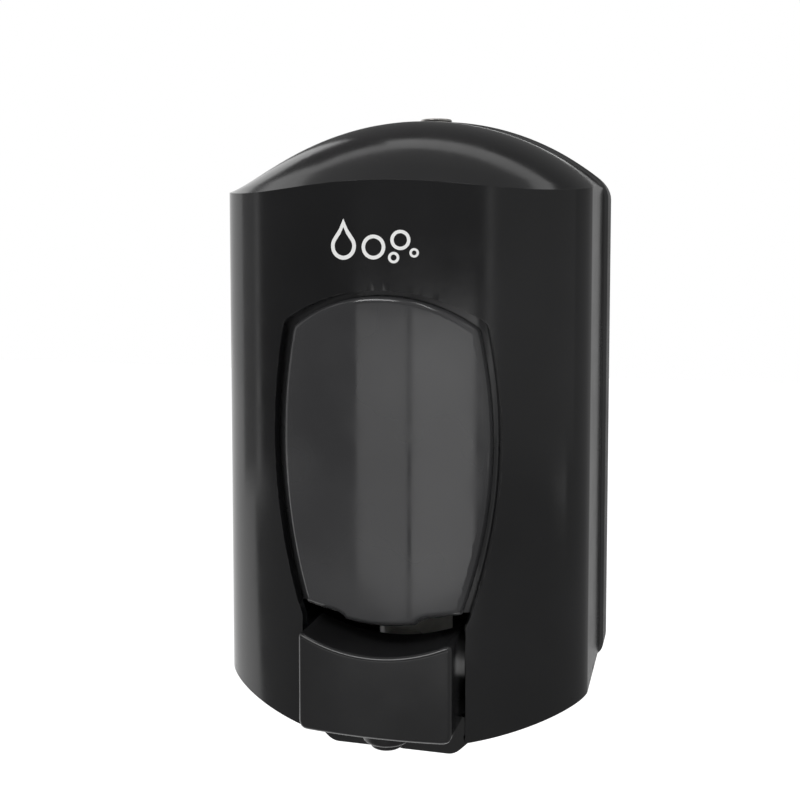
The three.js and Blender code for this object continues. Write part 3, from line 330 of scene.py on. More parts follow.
def face_depth(x, inset=0.0):
    """How far the cover's face stands from the wall at x, on a skin drawn in by inset."""
    across = min(abs(x) / (COVER_HALF - inset), 1)
    return SIDE_DEPTH + (COVER_FACE - inset - SIDE_DEPTH) * (1 - across ** BOW_POWER) ** (1 / BOW_POWER)


def crease_height(x):
    side = (x / COVER_HALF) ** 2
    return SHOULDER_Z + CREASE_RISE * (1 - side) + CREASE_WAVE * (1 - side) * side


def roof_height(x, climb):
    rear = ARCH_CENTRE_Z + math.sqrt(ARCH_RADIUS ** 2 - x ** 2)
    return crease_height(x) + (rear - crease_height(x)) * (1 - (1 - climb) ** ROOF_POWER)


def bottom_height(x):
    return BOTTOM_Z - BOTTOM_SAG * (1 - (x / COVER_HALF) ** 2)


WINDOW_APEX_Z = 41.0
WINDOW_TOP = (32.3, 31.0)
WINDOW_MID = (36.2, -7.0)
WINDOW_LOW = (27.5, -57.0)
NECK_HALF = 26.0
NECK_TOP_Z = -60.5


def arc_through(a, b, c, steps):
    """Points of the round arc from a to c that passes b."""
    (ax, ay), (bx, by), (cx, cy) = a, b, c
    d = 2 * (ax * (by - cy) + bx * (cy - ay) + cx * (ay - by))
    qa, qb, qc = ax * ax + ay * ay, bx * bx + by * by, cx * cx + cy * cy
    mx = (qa * (by - cy) + qb * (cy - ay) + qc * (ay - by)) / d
    my = (qa * (cx - bx) + qb * (ax - cx) + qc * (bx - ax)) / d
    start = math.atan2(ay - my, ax - mx)
    sweep = math.atan2(cy - my, cx - mx) - start
    if abs(sweep) > math.pi:
        sweep -= math.copysign(2 * math.pi, sweep)
    r = math.hypot(ax - mx, ay - my)
    return [(mx + r * math.cos(start + sweep * i / steps), my + r * math.sin(start + sweep * i / steps))
            for i in range(steps + 1)]


def eased(a, corner, b, steps=5):
    """A small rounded corner from a to b."""
    points = []
    for i in range(steps + 1):
        t = i / steps
        points.append(tuple((1 - t) ** 2 * p + 2 * t * (1 - t) * q + t * t * r for p, q,
                            r in zip(a, corner, b)))
    return points


def window_outline(shrink=0.0):
    """The window's right lower corner, up its bowed side, over the arch and down to its left."""
    top = (WINDOW_TOP[0] - shrink, WINDOW_TOP[1] - shrink / 2)
    mid = (WINDOW_MID[0] - shrink, WINDOW_MID[1])
    low = (WINDOW_LOW[0] - shrink, WINDOW_LOW[1])
    side = arc_through(low, mid, top, 60)[:-1]
    arch = arc_through(top, (0, WINDOW_APEX_Z - shrink / 2), (-top[0], top[1]), 56)[1:-1]
    right = side + eased(side[-1], top, arch[0], 4)[1:]
    left = [(-x, z) for x, z in reversed(right)]
    return right + arch[1:-1] + left


def offset_line(line, distance):
    """Moves an open line sideways, to its right, by distance."""
    moved = []
    for i, (x, z) in enumerate(line):
        (x0, z0), (x1, z1) = line[max(i - 1, 0)], line[min(i + 1, len(line) - 1)]
        long = math.hypot(x1 - x0, z1 - z0)
        moved.append((x + (z1 - z0) / long * distance, z - (x1 - x0) / long * distance))
    return moved


BAND = 2.4          # strip of regular faces kept along every edge of the skin

edge_line = [(NECK_HALF, bottom_height(NECK_HALF)), (NECK_HALF, bottom_height(NECK_HALF + BAND) + BAND)]
edge_line += [(NECK_HALF, z) for z in (-85, -75, -66)]
edge_line += [(NECK_HALF, NECK_TOP_Z)]
neck_side = len(edge_line)
edge_line += window_outline()
edge_line += [(-x, z) for x, z in reversed(edge_line[:neck_side])]
inner_line = offset_line(edge_line, BAND)
for end in (0, -1):
    side = math.copysign(1, edge_line[end][0])
    inner_line[end] = (side * (NECK_HALF + BAND), bottom_height(NECK_HALF + BAND))
for near in (1, -2):
    side = math.copysign(1, edge_line[near][0])
    inner_line[near] = (side * (NECK_HALF + BAND), bottom_height(NECK_HALF + BAND) + BAND)


def cut_together(lines, places, near):
    """Gives lines that run side by side a shared point where the last one crosses a place."""
    closest = [min(places, key=lambda place: abs(place - x)) for x, _ in lines[-1]]
    last = [(c if abs(c - x) < near else x, z) for (x, z), c in zip(lines[-1], closest)]
    lines = lines[:-1] + [last]
    cut = [[line[0]] for line in lines]
    for i in range(1, len(last)):
        x0, x1 = last[i - 1][0], last[i][0]
        crossed = [p for p in places if min(x0, x1) + 1e-6 < p < max(x0, x1) - 1e-6]
        shares = [(p - x0) / (x1 - x0) for p in sorted(crossed, reverse=x1 < x0)] + [1]
        for line, points in zip(lines, cut):
            points += [tuple(a + (b - a) * t for a, b in zip(line[i - 1], line[i])) for t in shares]
    return cut


def bow_columns():
    """Places across the bowed front, closer together where it turns into the sides."""
    half = [COVER_HALF * math.sin(math.pi / 2 * i / 56) for i in range(57)]
    near = NECK_HALF + BAND
    half = [x for x in half if abs(x - near) > 0.8] + [near]
    half.sort()
    return [-x for x in reversed(half[1:])] + half


def in_facets(places, depth_at):
    """A depth that runs straight from each place to the next, so that every strip of a bow is flat."""
    def at(x):
        i = min(max(bisect(places, x), 1), len(places) - 1)
        a, b = places[i - 1], places[i]
        return depth_at(a) + (depth_at(b) - depth_at(a)) * (x - a) / (b - a)
    return at


columns = bow_columns()
edge_line, inner_line = cut_together([edge_line, inner_line], columns, 0.4)
facet_depth = in_facets(columns, face_depth)
skin = bmesh.new()


def on_bow(x, z):
    return skin.verts.new((x, -facet_depth(x), z))


def add_strip(form, row_a, row_b):
    for i in range(len(row_a) - 1):
        form.faces.new((row_a[i], row_a[i + 1], row_b[i + 1], row_b[i]))


def add_flat(form, outline, cuts, low_at, high_at, place):
    """Fills an outline drawn flat, cut along lines at x, and puts each point where place() says."""
    turned_by = sum(a[0] * b[1] - b[0] * a[1] for a, b in zip(outline, outline[1:] + outline[:1]))
    points = [Vector(p) for p in (outline if turned_by > 0 else outline[::-1])]
    edges = []
    for x in cuts:
        edges.append((len(points), len(points) + 1))
        points += [Vector((x, low_at(x))), Vector((x, high_at(x)))]
    cells = delaunay_2d_cdt(points, edges, [list(range(len(outline)))], 4, 1e-5)
    corners = [form.verts.new(place(p.x, p.y)) for p in cells[0]]
    for face, came_from in zip(cells[2], cells[5]):
        if came_from:
            form.faces.new([corners[i] for i in face])


# the strips round the window and neck, under the crease and over the bottom edge
add_strip(skin, [on_bow(x, z) for x, z in edge_line], [on_bow(x, z) for x, z in inner_line])
add_strip(skin, [on_bow(x, crease_height(x)) for x in columns],
          [on_bow(x, crease_height(x) - BAND) for x in columns])
for side in (-1, 1):
    low = [x for x in columns if side * x >= NECK_HALF + BAND - 0.001]
    add_strip(skin, [on_bow(x, bottom_height(x)) for x in low],
              [on_bow(x, bottom_height(x) + BAND) for x in low])

# the open face between them, cut at every column so that it follows the bow
right_low = [x for x in columns if x >= NECK_HALF + BAND - 0.001]
rim = inner_line[1:-1]
rim += [(-x, bottom_height(x) + BAND) for x in right_low[1:]]
rim += [(x, crease_height(x) - BAND) for x in columns]
rim += [(x, bottom_height(x) + BAND) for x in reversed(right_low)][:-1]
add_flat(skin, rim, columns[1:-1], lambda x: bottom_height(x) + BAND, lambda x: crease_height(x) - BAND,
         lambda x, z: (x, -facet_depth(x), z))

# the straight sides and the roof, in rows that run to the rear edge
side_run = SIDE_DEPTH - COVER_REAR
floor_row = (SIDE_DEPTH - FLOOR_FRONT) / side_run
rows = [0, BAND / side_run] + [floor_row * c for c in (0.25, 0.36, 0.47, 0.58, 0.7, 0.85, 1)]
rows += [floor_row + (1 - floor_row) * c / 8 for c in range(1, 9)]
for side in (-1, 1):
    x = side * COVER_HALF
    low, under_crease = bottom_height(x), crease_height(x) - BAND
    lines = [[], [], [], [], []]
    for climb in rows:
        roof = roof_height(x, climb)
        for line, z in zip(lines, (low, low + BAND, under_crease, roof - BAND, roof)):
            line.append(skin.verts.new((x, -SIDE_DEPTH + side_run * climb, z)))
    for low_line, high_line in ((0, 1), (1, 3), (3, 4)):
        add_strip(skin, lines[low_line], lines[high_line])
previous = None
for climb in rows:
    row = [skin.verts.new((x, -face_depth(x) + (face_depth(x) - COVER_REAR) * climb, roof_height(x, climb)))
           for x in columns]
    if previous:
        add_strip(skin, previous, row)
    previous = row

# the floor, which stops short of the hinge and leaves room for the tray
for side in (-1, 1):
    walk = [(side * x, -facet_depth(x)) for x in [NECK_HALF] + right_low]
    walk += [(side * COVER_HALF, -SIDE_DEPTH + side_run * c) for c in rows[1:] if c <= floor_row + 1e-6]
    walk += [(side * TRAY_ROOM_HALF, -FLOOR_FRONT), (side * TRAY_ROOM_HALF, -TRAY_ROOM_FRONT),
             (side * NECK_HALF, -TRAY_ROOM_FRONT)]
    cuts = [side * x for x in right_low[1:-1]]
    add_flat(skin, walk, cuts, lambda x: -COVER_FACE, lambda x: -FLOOR_FRONT,
             lambda x, y: (x, y, bottom_height(x)))
bmesh.ops.remove_doubles(skin, verts=skin.verts, dist=0.06)
bmesh.ops.dissolve_degenerate(skin, edges=skin.edges, dist=0.03)
bmesh.ops.recalc_face_normals(skin, faces=skin.faces)


def round_fold(form, chosen, width, steps):
    """Rounds the folds of a form at the edges that chosen() picks."""
    picked = [e for e in form.edges if len(e.link_faces) == 2 and chosen(e)]
    bmesh.ops.bevel(form, geom=picked, offset=width, segments=steps, profile=0.5, affect="EDGES",
                    clamp_overlap=True)


def folds_at(height_of, tolerance=0.02):
    def chosen(edge):
        sharp = edge.calc_face_angle(0) > math.radians(20)
        return sharp and all(abs(v.co.z - height_of(v.co)) < tolerance for v in edge.verts)
    return chosen


def crease_line(p):
    if abs(p.x) < COVER_HALF - 0.01:
        return crease_height(p.x)
    return roof_height(p.x, (p.y + SIDE_DEPTH) / (SIDE_DEPTH - COVER_REAR))


round_fold(skin, folds_at(crease_line), 1.5, 5)
round_fold(skin, folds_at(lambda p: bottom_height(p.x)), 1.9, 4)
front_cover = put_together("front_cover_shell", skin, "cover", "gloss_black_shell", gloss_black,
                           "front_cover", crease=50)
thick = front_cover.modifiers.new("wall", "SOLIDIFY")
thick.thickness = COVER_WALL * MM
thick.offset = -1
soften(front_cover, 0.4, 3, 50)


def true_bow(piece, depth_at):
    """Gives a bowed face the exact slope of its bow at every corner, so reflections run clean."""
    made = bpy.data.meshes.new_from_object(piece.evaluated_get(bpy.context.evaluated_depsgraph_get()))
    slopes = [corner.vector.copy() for corner in made.corner_normals]

    def slope(x):
        x = min(max(x / MM, 0.3 - COVER_HALF), COVER_HALF - 0.3)
        return Vector((depth_at(x - 0.1) - depth_at(x + 0.1), -0.2, 0)).normalized()

    for face in made.polygons:
        if face.normal.dot(slope(face.center.x)) > 0.998:
            for i in face.loop_indices:
                slopes[i] = slope(made.vertices[made.loops[i].vertex_index].co.x)
    made.normals_split_custom_set(slopes)
    piece.modifiers.clear()
    piece.data = made


true_bow(front_cover, face_depth)

# ------------------------------
# Inside the cover: two blind bosses that take the hinge pins, and the hook under the roof that the lock's cam
# catches. All are moulded with the cover, in the same black ABS.
# ------------------------------


def rounded_line(line, r):
    """Eases every corner of an open line of 2-D points by up to r."""
    eased_line = [line[0]]
    for before, corner, after in zip(line, line[1:], line[2:]):
        a, c, d = Vector(before), Vector(corner), Vector(after)
        reach = min(r, (a - c).length * 0.45, (d - c).length * 0.45)
        eased_line += eased(tuple(c + (a - c).normalized() * reach), corner,
                            tuple(c + (d - c).normalized() * reach), 3)
    return eased_line + [line[-1]]


def turned(profile, axis, place, r=0.3, sides=64):
    """A lathe-turned form: (radius, height) points spun about an axis through place."""
    closed = profile[0] == profile[-1]
    line = rounded_line(profile, r)
    form = bmesh.new()
    rings = []
    for radius, height in line[:-1] if closed else line:
        count = 1 if radius < 1e-6 else sides
        angles = [2 * math.pi * k / sides for k in range(count)]
        rings.append([form.verts.new((radius * math.cos(t), radius * math.sin(t), height)) for t in angles])
    if closed:
        rings.append(rings[0])
    for low, high in zip(rings, rings[1:]):
        for k in range(sides):
            corners = [low[k % len(low)], low[(k + 1) % len(low)], high[(k + 1) % len(high)],
                       high[k % len(high)]]
            corners = list(dict.fromkeys(corners))
            if len(corners) > 2:
                form.faces.new(corners)
    if axis == "X":
        bmesh.ops.rotate(form, matrix=Matrix.Rotation(math.radians(90), 3, "Y"), verts=form.verts)
    if axis == "Y":
        bmesh.ops.rotate(form, matrix=Matrix.Rotation(math.radians(-90), 3, "X"), verts=form.verts)
    bmesh.ops.translate(form, vec=Vector(place), verts=form.verts)
    bmesh.ops.recalc_face_normals(form, faces=form.faces)
    return form


def rod(radius, start, end, axis, place, r=0.3, sides=64):
    return turned([(0, start), (radius, start), (radius, end), (0, end)], axis, place, r, sides)


def tube(bore, radius, start, end, axis, place, r=0.3, sides=64):
    profile = [(bore, start), (radius, start), (radius, end), (bore, end), (bore, start)]
    return turned(profile, axis, place, r, sides)


def block(low, high, r=0.4, steps=3):
    """A block with eased edges."""
    form = bmesh.new()
    bmesh.ops.create_cube(form, size=2)
    for v in form.verts:
        v.co = Vector([low[i] if v.co[i] < 0 else high[i] for i in range(3)])
    if r:
        bmesh.ops.bevel(form, geom=form.edges[:], offset=r, segments=steps, profile=0.5, affect="EDGES")
    return form


def combined(*forms):
    whole = bmesh.new()
    for form in forms:
        mesh = bpy.data.meshes.new("part_of_piece")
        form.to_mesh(mesh)
        whole.from_mesh(mesh)
        bpy.data.meshes.remove(mesh)
        form.free()
    return whole


def mirror_pair(make):
    """The two like forms that make(-1) and make(1) give, left and right."""
    return combined(make(-1), make(1))


def span(side, near, far):
    return (near, far) if side > 0 else (-far, -near)


HINGE = (0.0, -30.0, -83.0)
KNUCKLE_RADIUS = 3.6
PIN_ROOM = 2.3
INNER_HALF = COVER_HALF - COVER_WALL
BOSS_WIDTH = 4.6


def hinge_boss(side):
    near, far, end = INNER_HALF - BOSS_WIDTH, INNER_HALF + 1.2, INNER_HALF - 0.6
    profile = [(0, end), (PIN_ROOM, end), (PIN_ROOM, near), (KNUCKLE_RADIUS, near), (KNUCKLE_RADIUS, far),
               (0, far)]
    return turned([(radius, side * x) for radius, x in profile], "X", HINGE)


CAM_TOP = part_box("lock_cam")[1].z / MM
CAM_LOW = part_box("lock_cam")[0].z / MM
PLATE_TOP = 98.09
HOOK = (6.0, 12.0)
catch = combined(
    block((HOOK[0], -24, CAM_TOP + 0.3), (HOOK[1], -3.4, CAM_TOP + 2.3)),
    block((HOOK[0], -5.0, CAM_LOW), (HOOK[1], -3.4, CAM_TOP + 2.2), 0.3),
    block((HOOK[0], -24, CAM_TOP + 0.4), (HOOK[1], -20, 94.6)),
)
put_together("cover_hinge_bosses", mirror_pair(hinge_boss), "cover", "gloss_black_shell", gloss_black)
put_together("cover_catch", catch, "cover", "gloss_black_shell", gloss_black)

# ------------------------------
# Mark printed on the cover above the window: a plain soap drop and three bubbles, pad-printed in white ink.
# The ink lies a tenth of a millimetre proud of the plastic.
# ------------------------------
INK = 0.1
MARK_X, MARK_Z = -1.5, 54.8


def disc_outline(x, z, r, steps=28):
    return [(x + r * math.cos(2 * math.pi * i / steps), z + r * math.sin(2 * math.pi * i / steps))
            for i in range(steps)]


def drop_outline(x, z, r, tip, steps=30):
    """A drop: round below, and drawn up to a point."""
    outline = []
    for i in range(steps + 1):
        t = math.radians(-215 + 250 * i / steps)
        outline.append((x + r * math.cos(t), z + r * math.sin(t)))
    return outline + [(x + 0.35 * r, z + tip * 0.62), (x, z + tip), (x - 0.35 * r, z + tip * 0.62)]


def encloses(loop, x, z):
    """Whether a closed line of points goes round the place x, z."""
    crossings = 0
    for (ax, az), (bx, bz) in zip(loop, loop[1:] + loop[:1]):
        if (az > z) != (bz > z) and x < ax + (bx - ax) * (z - az) / (bz - az):
            crossings += 1
    return crossings % 2 == 1


def flat_form(loops, y0, y1, r=0.3, steps=2):
    """A flat form: an outline, less the holes in it, drawn in X and Z and given depth from y0 to y1."""
    points, edges = [], []
    for loop in loops:
        first, count = len(points), len(loop)
        points += [Vector(p) for p in loop]
        edges += [(first + i, first + (i + 1) % count) for i in range(count)]
    cells = delaunay_2d_cdt(points, edges, [], 1, 1e-5)
    form = bmesh.new()
    corners = [form.verts.new((p.x, y0, p.y)) for p in cells[0]]
    for face in cells[2]:
        middle = sum((cells[0][i] for i in face), Vector((0, 0))) / len(face)
        if sum(encloses(loop, middle.x, middle.y) for loop in loops) % 2 == 1:
            form.faces.new([corners[i] for i in face])
    grown = bmesh.ops.extrude_face_region(form, geom=form.faces[:], use_keep_orig=True)
    for v in grown["geom"]:
        if isinstance(v, bmesh.types.BMVert):
            v.co.y = y1
    bmesh.ops.recalc_face_normals(form, faces=form.faces)
    if r:
        rim = [e for e in form.edges if e.calc_face_angle(0) > math.radians(50)]
        bmesh.ops.bevel(form, geom=rim, offset=r, segments=steps, profile=0.5, affect="EDGES",
                        clamp_overlap=True)
    return form


printed_white, ink = shader("printed_white_ink", (0.86, 0.86, 0.85), 0.42, IOR=1.48)
tree = printed_white.node_tree
tree.links.new(tint(tree, noise(tree, 900, 4), (0.8, 0.8, 0.79), (0.9, 0.9, 0.89)),
               ink.inputs["Base Color"])
tree.links.new(spread(tree, noise(tree, 500), 0.3, 0.7, 0.34, 0.5), ink.inputs["Roughness"])
bump(tree, ink, noise(tree, 1500, 2), 0.02)


def ring(x, z, r, stroke=1.0):
    return flat_form([disc_outline(x, z, r), disc_outline(x, z, r - stroke)], 0, 1, 0)


mark = combined(flat_form([drop_outline(MARK_X - 9.6, MARK_Z - 0.6, 4.1, 8.2),
                           drop_outline(MARK_X - 9.6, MARK_Z - 0.6, 2.9, 5.7)], 0, 1, 0),
                ring(MARK_X, MARK_Z - 0.9, 3.7, 1.1), ring(MARK_X + 8.2, MARK_Z + 1.2, 3.0),
                ring(MARK_X + 6.2, MARK_Z - 4.0, 1.7, 0.8), ring(MARK_X + 12.3, MARK_Z - 2.6, 1.4, 0.7))
bmesh.ops.subdivide_edges(mark, edges=[e for e in mark.edges if e.calc_length() > 1.2], cuts=2)
for v in mark.verts:
    v.co.y = -face_depth(v.co.x) + (INK if v.co.y < 0.5 else -INK)
put_together("printed_mark", mark, "cover", "natural_white", printed_white)

# ------------------------------
# Wall plate. A shallow tray of satin black ABS with a chamfered rim, an inner flange that locates the cover,
# four keyholes for the wall screws, ribs, the two hinge ears, and the shelves and rests that hold the tank.
# ------------------------------
satin_black = moulded_black("satin_black_abs", (0.0075, 0.0075, 0.008), 0.3, 420, 0.03, 0.03)
LIP = 1.5
PLATE_DEPTH = 14.5
PANEL = 2.5
RIM = 3.0
PLATE_CORNER = 4.0


def plate_outline(grow, steps=60):
    """The plate's outline: arched top, straight sides and sagging bottom, grown by a margin."""
    half, r = COVER_HALF + grow, PLATE_CORNER
    top_at = lambda x: ARCH_CENTRE_Z + math.sqrt((ARCH_RADIUS + grow) ** 2 - x ** 2)
    low_at = lambda x: bottom_height(x * COVER_HALF / half) - grow
    line = []
    for side, edge_at, sense in ((1, top_at, -1), (-1, low_at, 1)):
        corner = (side * half, edge_at(half))
        inner = (side * (half - r), edge_at(half - r))
        line += eased((side * half, edge_at(half) + sense * r), corner, inner, 6)
        line += [(side * (half - r) * (1 - 2 * i / steps), edge_at((half - r) * (1 - 2 * i / steps)))
                 for i in range(1, steps)]
        line += eased((-inner[0], inner[1]), (-corner[0], corner[1]), (-corner[0], corner[1] + sense * r),
                      6)
    return line


def ring_along(sections, outline_at):
    """A closed ring whose section is a loop of (grow, y) points carried round an outline."""
    form = bmesh.new()
    rings = [[form.verts.new((x, y, z)) for x, z in outline_at(grow)] for grow, y in sections]
    for a, b in zip(rings, rings[1:] + rings[:1]):
        for i in range(len(a)):
            form.faces.new((a[i], a[(i + 1) % len(a)], b[(i + 1) % len(a)], b[i]))
    bmesh.ops.recalc_face_normals(form, faces=form.faces)
    return form


def fused(form, tool, operation="UNION"):
    """Joins two forms into one solid, or cuts the second from the first."""
    helpers = []
    for part in (form, tool):
        mesh = bpy.data.meshes.new("helper")
        part.to_mesh(mesh)
        part.free()
        helpers.append(bpy.data.objects.new("helper", mesh))
        scene.collection.objects.link(helpers[-1])
    work, other = helpers
    step = work.modifiers.new("step", "BOOLEAN")
    step.operation = operation
    step.object = other
    step.solver = "EXACT"
    step.use_self = True
    made = work.evaluated_get(bpy.context.evaluated_depsgraph_get())
    result = bmesh.new()
    result.from_mesh(made.to_mesh())
    made.to_mesh_clear()
    for helper in helpers:
        mesh = helper.data
        bpy.data.objects.remove(helper)
        bpy.data.meshes.remove(mesh)
    bmesh.ops.remove_doubles(result, verts=result.verts, dist=0.002)
    return result


def cut_away(form, *tools):
    for tool in tools:
        form = fused(form, tool, "DIFFERENCE")
    return form


def keyhole(x, z, head=4.5, slot=2.3, long=9.0):
    """Round head with a slot above it that hangs on the wall screw."""
    outline = []
    meet = math.asin(slot / head)
    for i in range(25):
        t = math.pi / 2 + meet + (2 * math.pi - 2 * meet) * i / 24
        outline.append((x + head * math.cos(t), z + head * math.sin(t)))
    for i in range(13):
        t = math.pi * i / 12
        outline.append((x + slot * math.cos(t), z + long + slot * math.sin(t)))
    return outline


TANK_TOP, TANK_BOTTOM = 60.0, -57.0
PUMP_Z = -82.0
FIT = 0.3           # gap left between pieces that meet
TRAY_TOP_HALF = 29.0
TRAY_SCREW_X, TRAY_SCREW_Z = 21.0, PUMP_Z - 11
holes = [keyhole(x, z) for x in (-32, 32) for z in (52, -48)]
holes += [disc_outline(side * TRAY_SCREW_X, TRAY_SCREW_Z, 1.1) for side in (-1, 1)]
panel = flat_form([plate_outline(LIP - 0.01)] + holes, 0, -PANEL, 0.5, 3)
rim = ring_along(rounded_line([(0.2, -1.6), (LIP, -1.6), (LIP, -12.0), (0.3, -PLATE_DEPTH),
                               (LIP - RIM, -PLATE_DEPTH), (LIP - RIM, -1.6), (0.1, -1.6)], 0.5)[1:-1],
                 plate_outline)
flange_inset = -(COVER_WALL * 1.33 + 0.8)
flange = ring_along([(flange_inset, -1.6), (flange_inset, -19.5), (flange_inset - 0.4, -20.0),
                     (flange_inset - 1.4, -20.0), (flange_inset - 1.8, -19.5), (flange_inset - 1.8, -1.6)],
                    plate_outline)
flange = cut_away(flange, block((-99, -99, -150), (99, -PLATE_DEPTH, HINGE[2]), 0))
plate = fused(panel, rim)
plate = fused(plate, flange)
plate = cut_away(plate, block((-16, -99, 72), (16, -PANEL, PLATE_TOP - RIM), 0),
                 block((-29.3, -99, -150), (29.3, -PANEL, HINGE[2]), 0),
                 rod(5, 88, 105, "Z", (0, -8, 0), 0))


def plate_fittings(side):
    ear_far = INNER_HALF - BOSS_WIDTH - 1.5
    ear_near = ear_far - 6.5
    r = KNUCKLE_RADIUS
    ear = combined(tube(PIN_ROOM, r, side * ear_near, side * ear_far, "X", HINGE, 0.3),
                   block((*span(side, ear_near, ear_far)[:1], HINGE[1] + 2.6, HINGE[2] - r),
                         (*span(side, ear_near, ear_far)[1:], -PANEL / 2, HINGE[2] + r), 0.4))
    shelf_x = span(side, TRAY_TOP_HALF, TRAY_TOP_HALF + 14)
    top = TANK_BOTTOM - FIT
    middle = side * (TRAY_TOP_HALF + 7)
    gusset = flat_form([[(-40, top - 1.5), (-1, top - 24), (-1, top - 1.5)]], -1.2, 1.2, 0.3)
    for v in gusset.verts:
        v.co = Vector((middle + v.co.y, v.co.x, v.co.z))
    rib_x = span(side, 17, 18.6)
    rest_x = span(side, 26, 38)
    rest = TANK_TOP - 34
    return combined(ear, block((shelf_x[0], -56, top - 3), (shelf_x[1], -PANEL / 2, top), 0.5), gusset,
                    block((rib_x[0], -8, -40), (rib_x[1], -PANEL / 2, 62), 0.4),
                    block((rest_x[0], -21.7, rest), (rest_x[1], -PANEL / 2, rest + 4), 0.5),
                    tube(1.7, 3.4, -PANEL / 2, -7, "Y", (side * TRAY_SCREW_X, 0, TRAY_SCREW_Z), 0.3))


plate = combined(plate, mirror_pair(plate_fittings), block((-45, -6, -20), (45, -PANEL / 2, -18.4), 0.4))
put_together("wall_plate_moulding", plate, "body", "satin_black", satin_black, "wall_plate")

# ------------------------------
# Hinge pins, lid pin and screws. Zinc-plated steel, turned from wire and rod, so fine rings run round them.
# The screws have rounded heads with a cross recess.
# ------------------------------
def steel_finish(name, colour, roughness, stretch):
    """Bare or plated steel: tool marks one way, a slow tarnish, and uneven polish."""
    material, bsdf = shader(name, colour, roughness, Metallic=1.0)
    tree = material.node_tree
    marks = noise(tree, 700, 3, stretch)
    dull = tuple(c * 0.72 for c in colour)
    tree.links.new(tint(tree, spread(tree, noise(tree, 120, 4), 0.35, 0.65, 0, 1), dull, colour),
                   bsdf.inputs["Base Color"])
    tree.links.new(spread(tree, marks, 0.3, 0.7, roughness * 0.7, roughness * 1.4),
                   bsdf.inputs["Roughness"])
    bump(tree, bsdf, marks, 0.02)
    return material


plated_steel = steel_finish("zinc_plated_steel", (0.58, 0.6, 0.62), 0.3, (4, 1, 1))
spring_steel = steel_finish("spring_steel", (0.5, 0.51, 0.53), 0.26, (1, 1, 1))


def pin(name, node, body):
    low, high = (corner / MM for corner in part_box(node))
    r = (high.z - low.z) / 2
    profile = [(0, low.x), (r, low.x), (r, high.x), (0, high.x)]
    form = turned(profile, "X", (0, (low.y + high.y) / 2, (low.z + high.z) / 2), 0.4, 48)
    put_together(name, form, body, "steel", plated_steel, node)


pin("hinge_pin_left_turned", "hinge_pin_left", "body")
pin("hinge_pin_right_turned", "hinge_pin_right", "body")
pin("lid_pin_turned", "lid_pin", "body")


def cross_screw(name, node, body, axis, sense):
    """A pan-head screw with a cross recess and a rolled thread, its head towards sense on the axis."""
    low, high = (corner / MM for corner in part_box(node))
    k = "XYZ".index(axis)
    middle = (low + high) / 2
    place = Vector([0 if i == k else middle[i] for i in range(3)])
    head_end, tip = (high[k], low[k]) if sense > 0 else (low[k], high[k])
    head = 1.8 if "lock" not in node else 1.5
    r = (high[(k + 1) % 3] - low[(k + 1) % 3]) / 2
    under = head_end - sense * head
    crown = [(0, head_end), (r * 0.55, head_end - sense * 0.1), (r * 0.88, head_end - sense * 0.55),
             (r, under + sense * 0.2), (r, under), (1.1, under)]
    threads = int(abs(under - tip) / 1.0)
    for i in range(threads - 1):
        z = under - sense * (0.5 + i)
        crown += [(1.1, z), (1.4, z - sense * 0.4), (1.1, z - sense * 0.8)]
    form = turned(crown + [(0.9, tip), (0, tip)], axis, place, 0.12, 40)
    recess = combined(block((-r * 0.6, -0.35, -0.9), (r * 0.6, 0.35, 0.9), 0),
                      block((-0.35, -r * 0.6, -0.9), (0.35, r * 0.6, 0.9), 0))
    if axis == "Y":
        bmesh.ops.rotate(recess, matrix=Matrix.Rotation(math.radians(90), 3, "X"), verts=recess.verts)
    spot = place.copy()
    spot[k] = head_end
    bmesh.ops.translate(recess, vec=spot, verts=recess.verts)
    put_together(name, cut_away(form, recess), body, "steel", plated_steel, node)


for side_name in ("left", "right"):
    cross_screw("tray_screw_%s_turned" % side_name, "tray_screw_" + side_name, "body", "Y", -1)
    cross_screw("pump_screw_%s_turned" % side_name, "pump_screw_" + side_name, "body", "Z", 1)
cross_screw("lock_screw_turned", "lock_screw", "lock", "Z", -1)

# ------------------------------
# Key lock. A nickel-plated barrel set in the top of the plate, with a slot for the key, and a pressed steel
# cam on its square end that turns under the cover's hook.
# ------------------------------
nickel = steel_finish("nickel_plate", (0.62, 0.6, 0.57), 0.2, (1, 1, 6))
LOCK_Y = -8.0
barrel_low, barrel_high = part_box("lock_barrel")[0].z / MM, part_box("lock_barrel")[1].z / MM
barrel = turned([(0, barrel_low), (2.5, barrel_low), (2.5, CAM_TOP + 0.3), (4.7, CAM_TOP + 0.3),
                 (4.7, barrel_high - 0.8), (5.6, barrel_high - 0.8), (5.6, barrel_high - 0.25),
                 (5.3, barrel_high), (3.0, barrel_high), (2.8, barrel_high - 0.25),
                 (0, barrel_high - 0.25)], "Z", (0, LOCK_Y, 0), 0.15, 72)
key_slot = block((-2.2, LOCK_Y - 0.5, barrel_high - 5), (2.2, LOCK_Y + 0.5, barrel_high + 1), 0.15)
barrel = cut_away(barrel, key_slot, rod(1.7, barrel_low - 1, barrel_low + 4, "Z", (0, LOCK_Y, 0), 0, 32))
put_together("lock_barrel_turned", barrel, "lock", "lock_metal", nickel, "lock_barrel")

cam_line = [(4.7 * math.sin(t), LOCK_Y + 4.7 * math.cos(t))
            for t in (math.radians(-146 + 292 * i / 30) for i in range(31))]
cam_line += [(2.5, LOCK_Y - 12), (1.5, LOCK_Y - 13), (-1.5, LOCK_Y - 13), (-2.5, LOCK_Y - 12)]
cam = flat_form([cam_line, disc_outline(0, LOCK_Y, 2.8)], CAM_LOW, CAM_TOP, 0.25)
for v in cam.verts:
    v.co = Vector((v.co.x, v.co.z, v.co.y))
put_together("lock_cam_pressed", cam, "lock", "steel", plated_steel, "lock_cam")

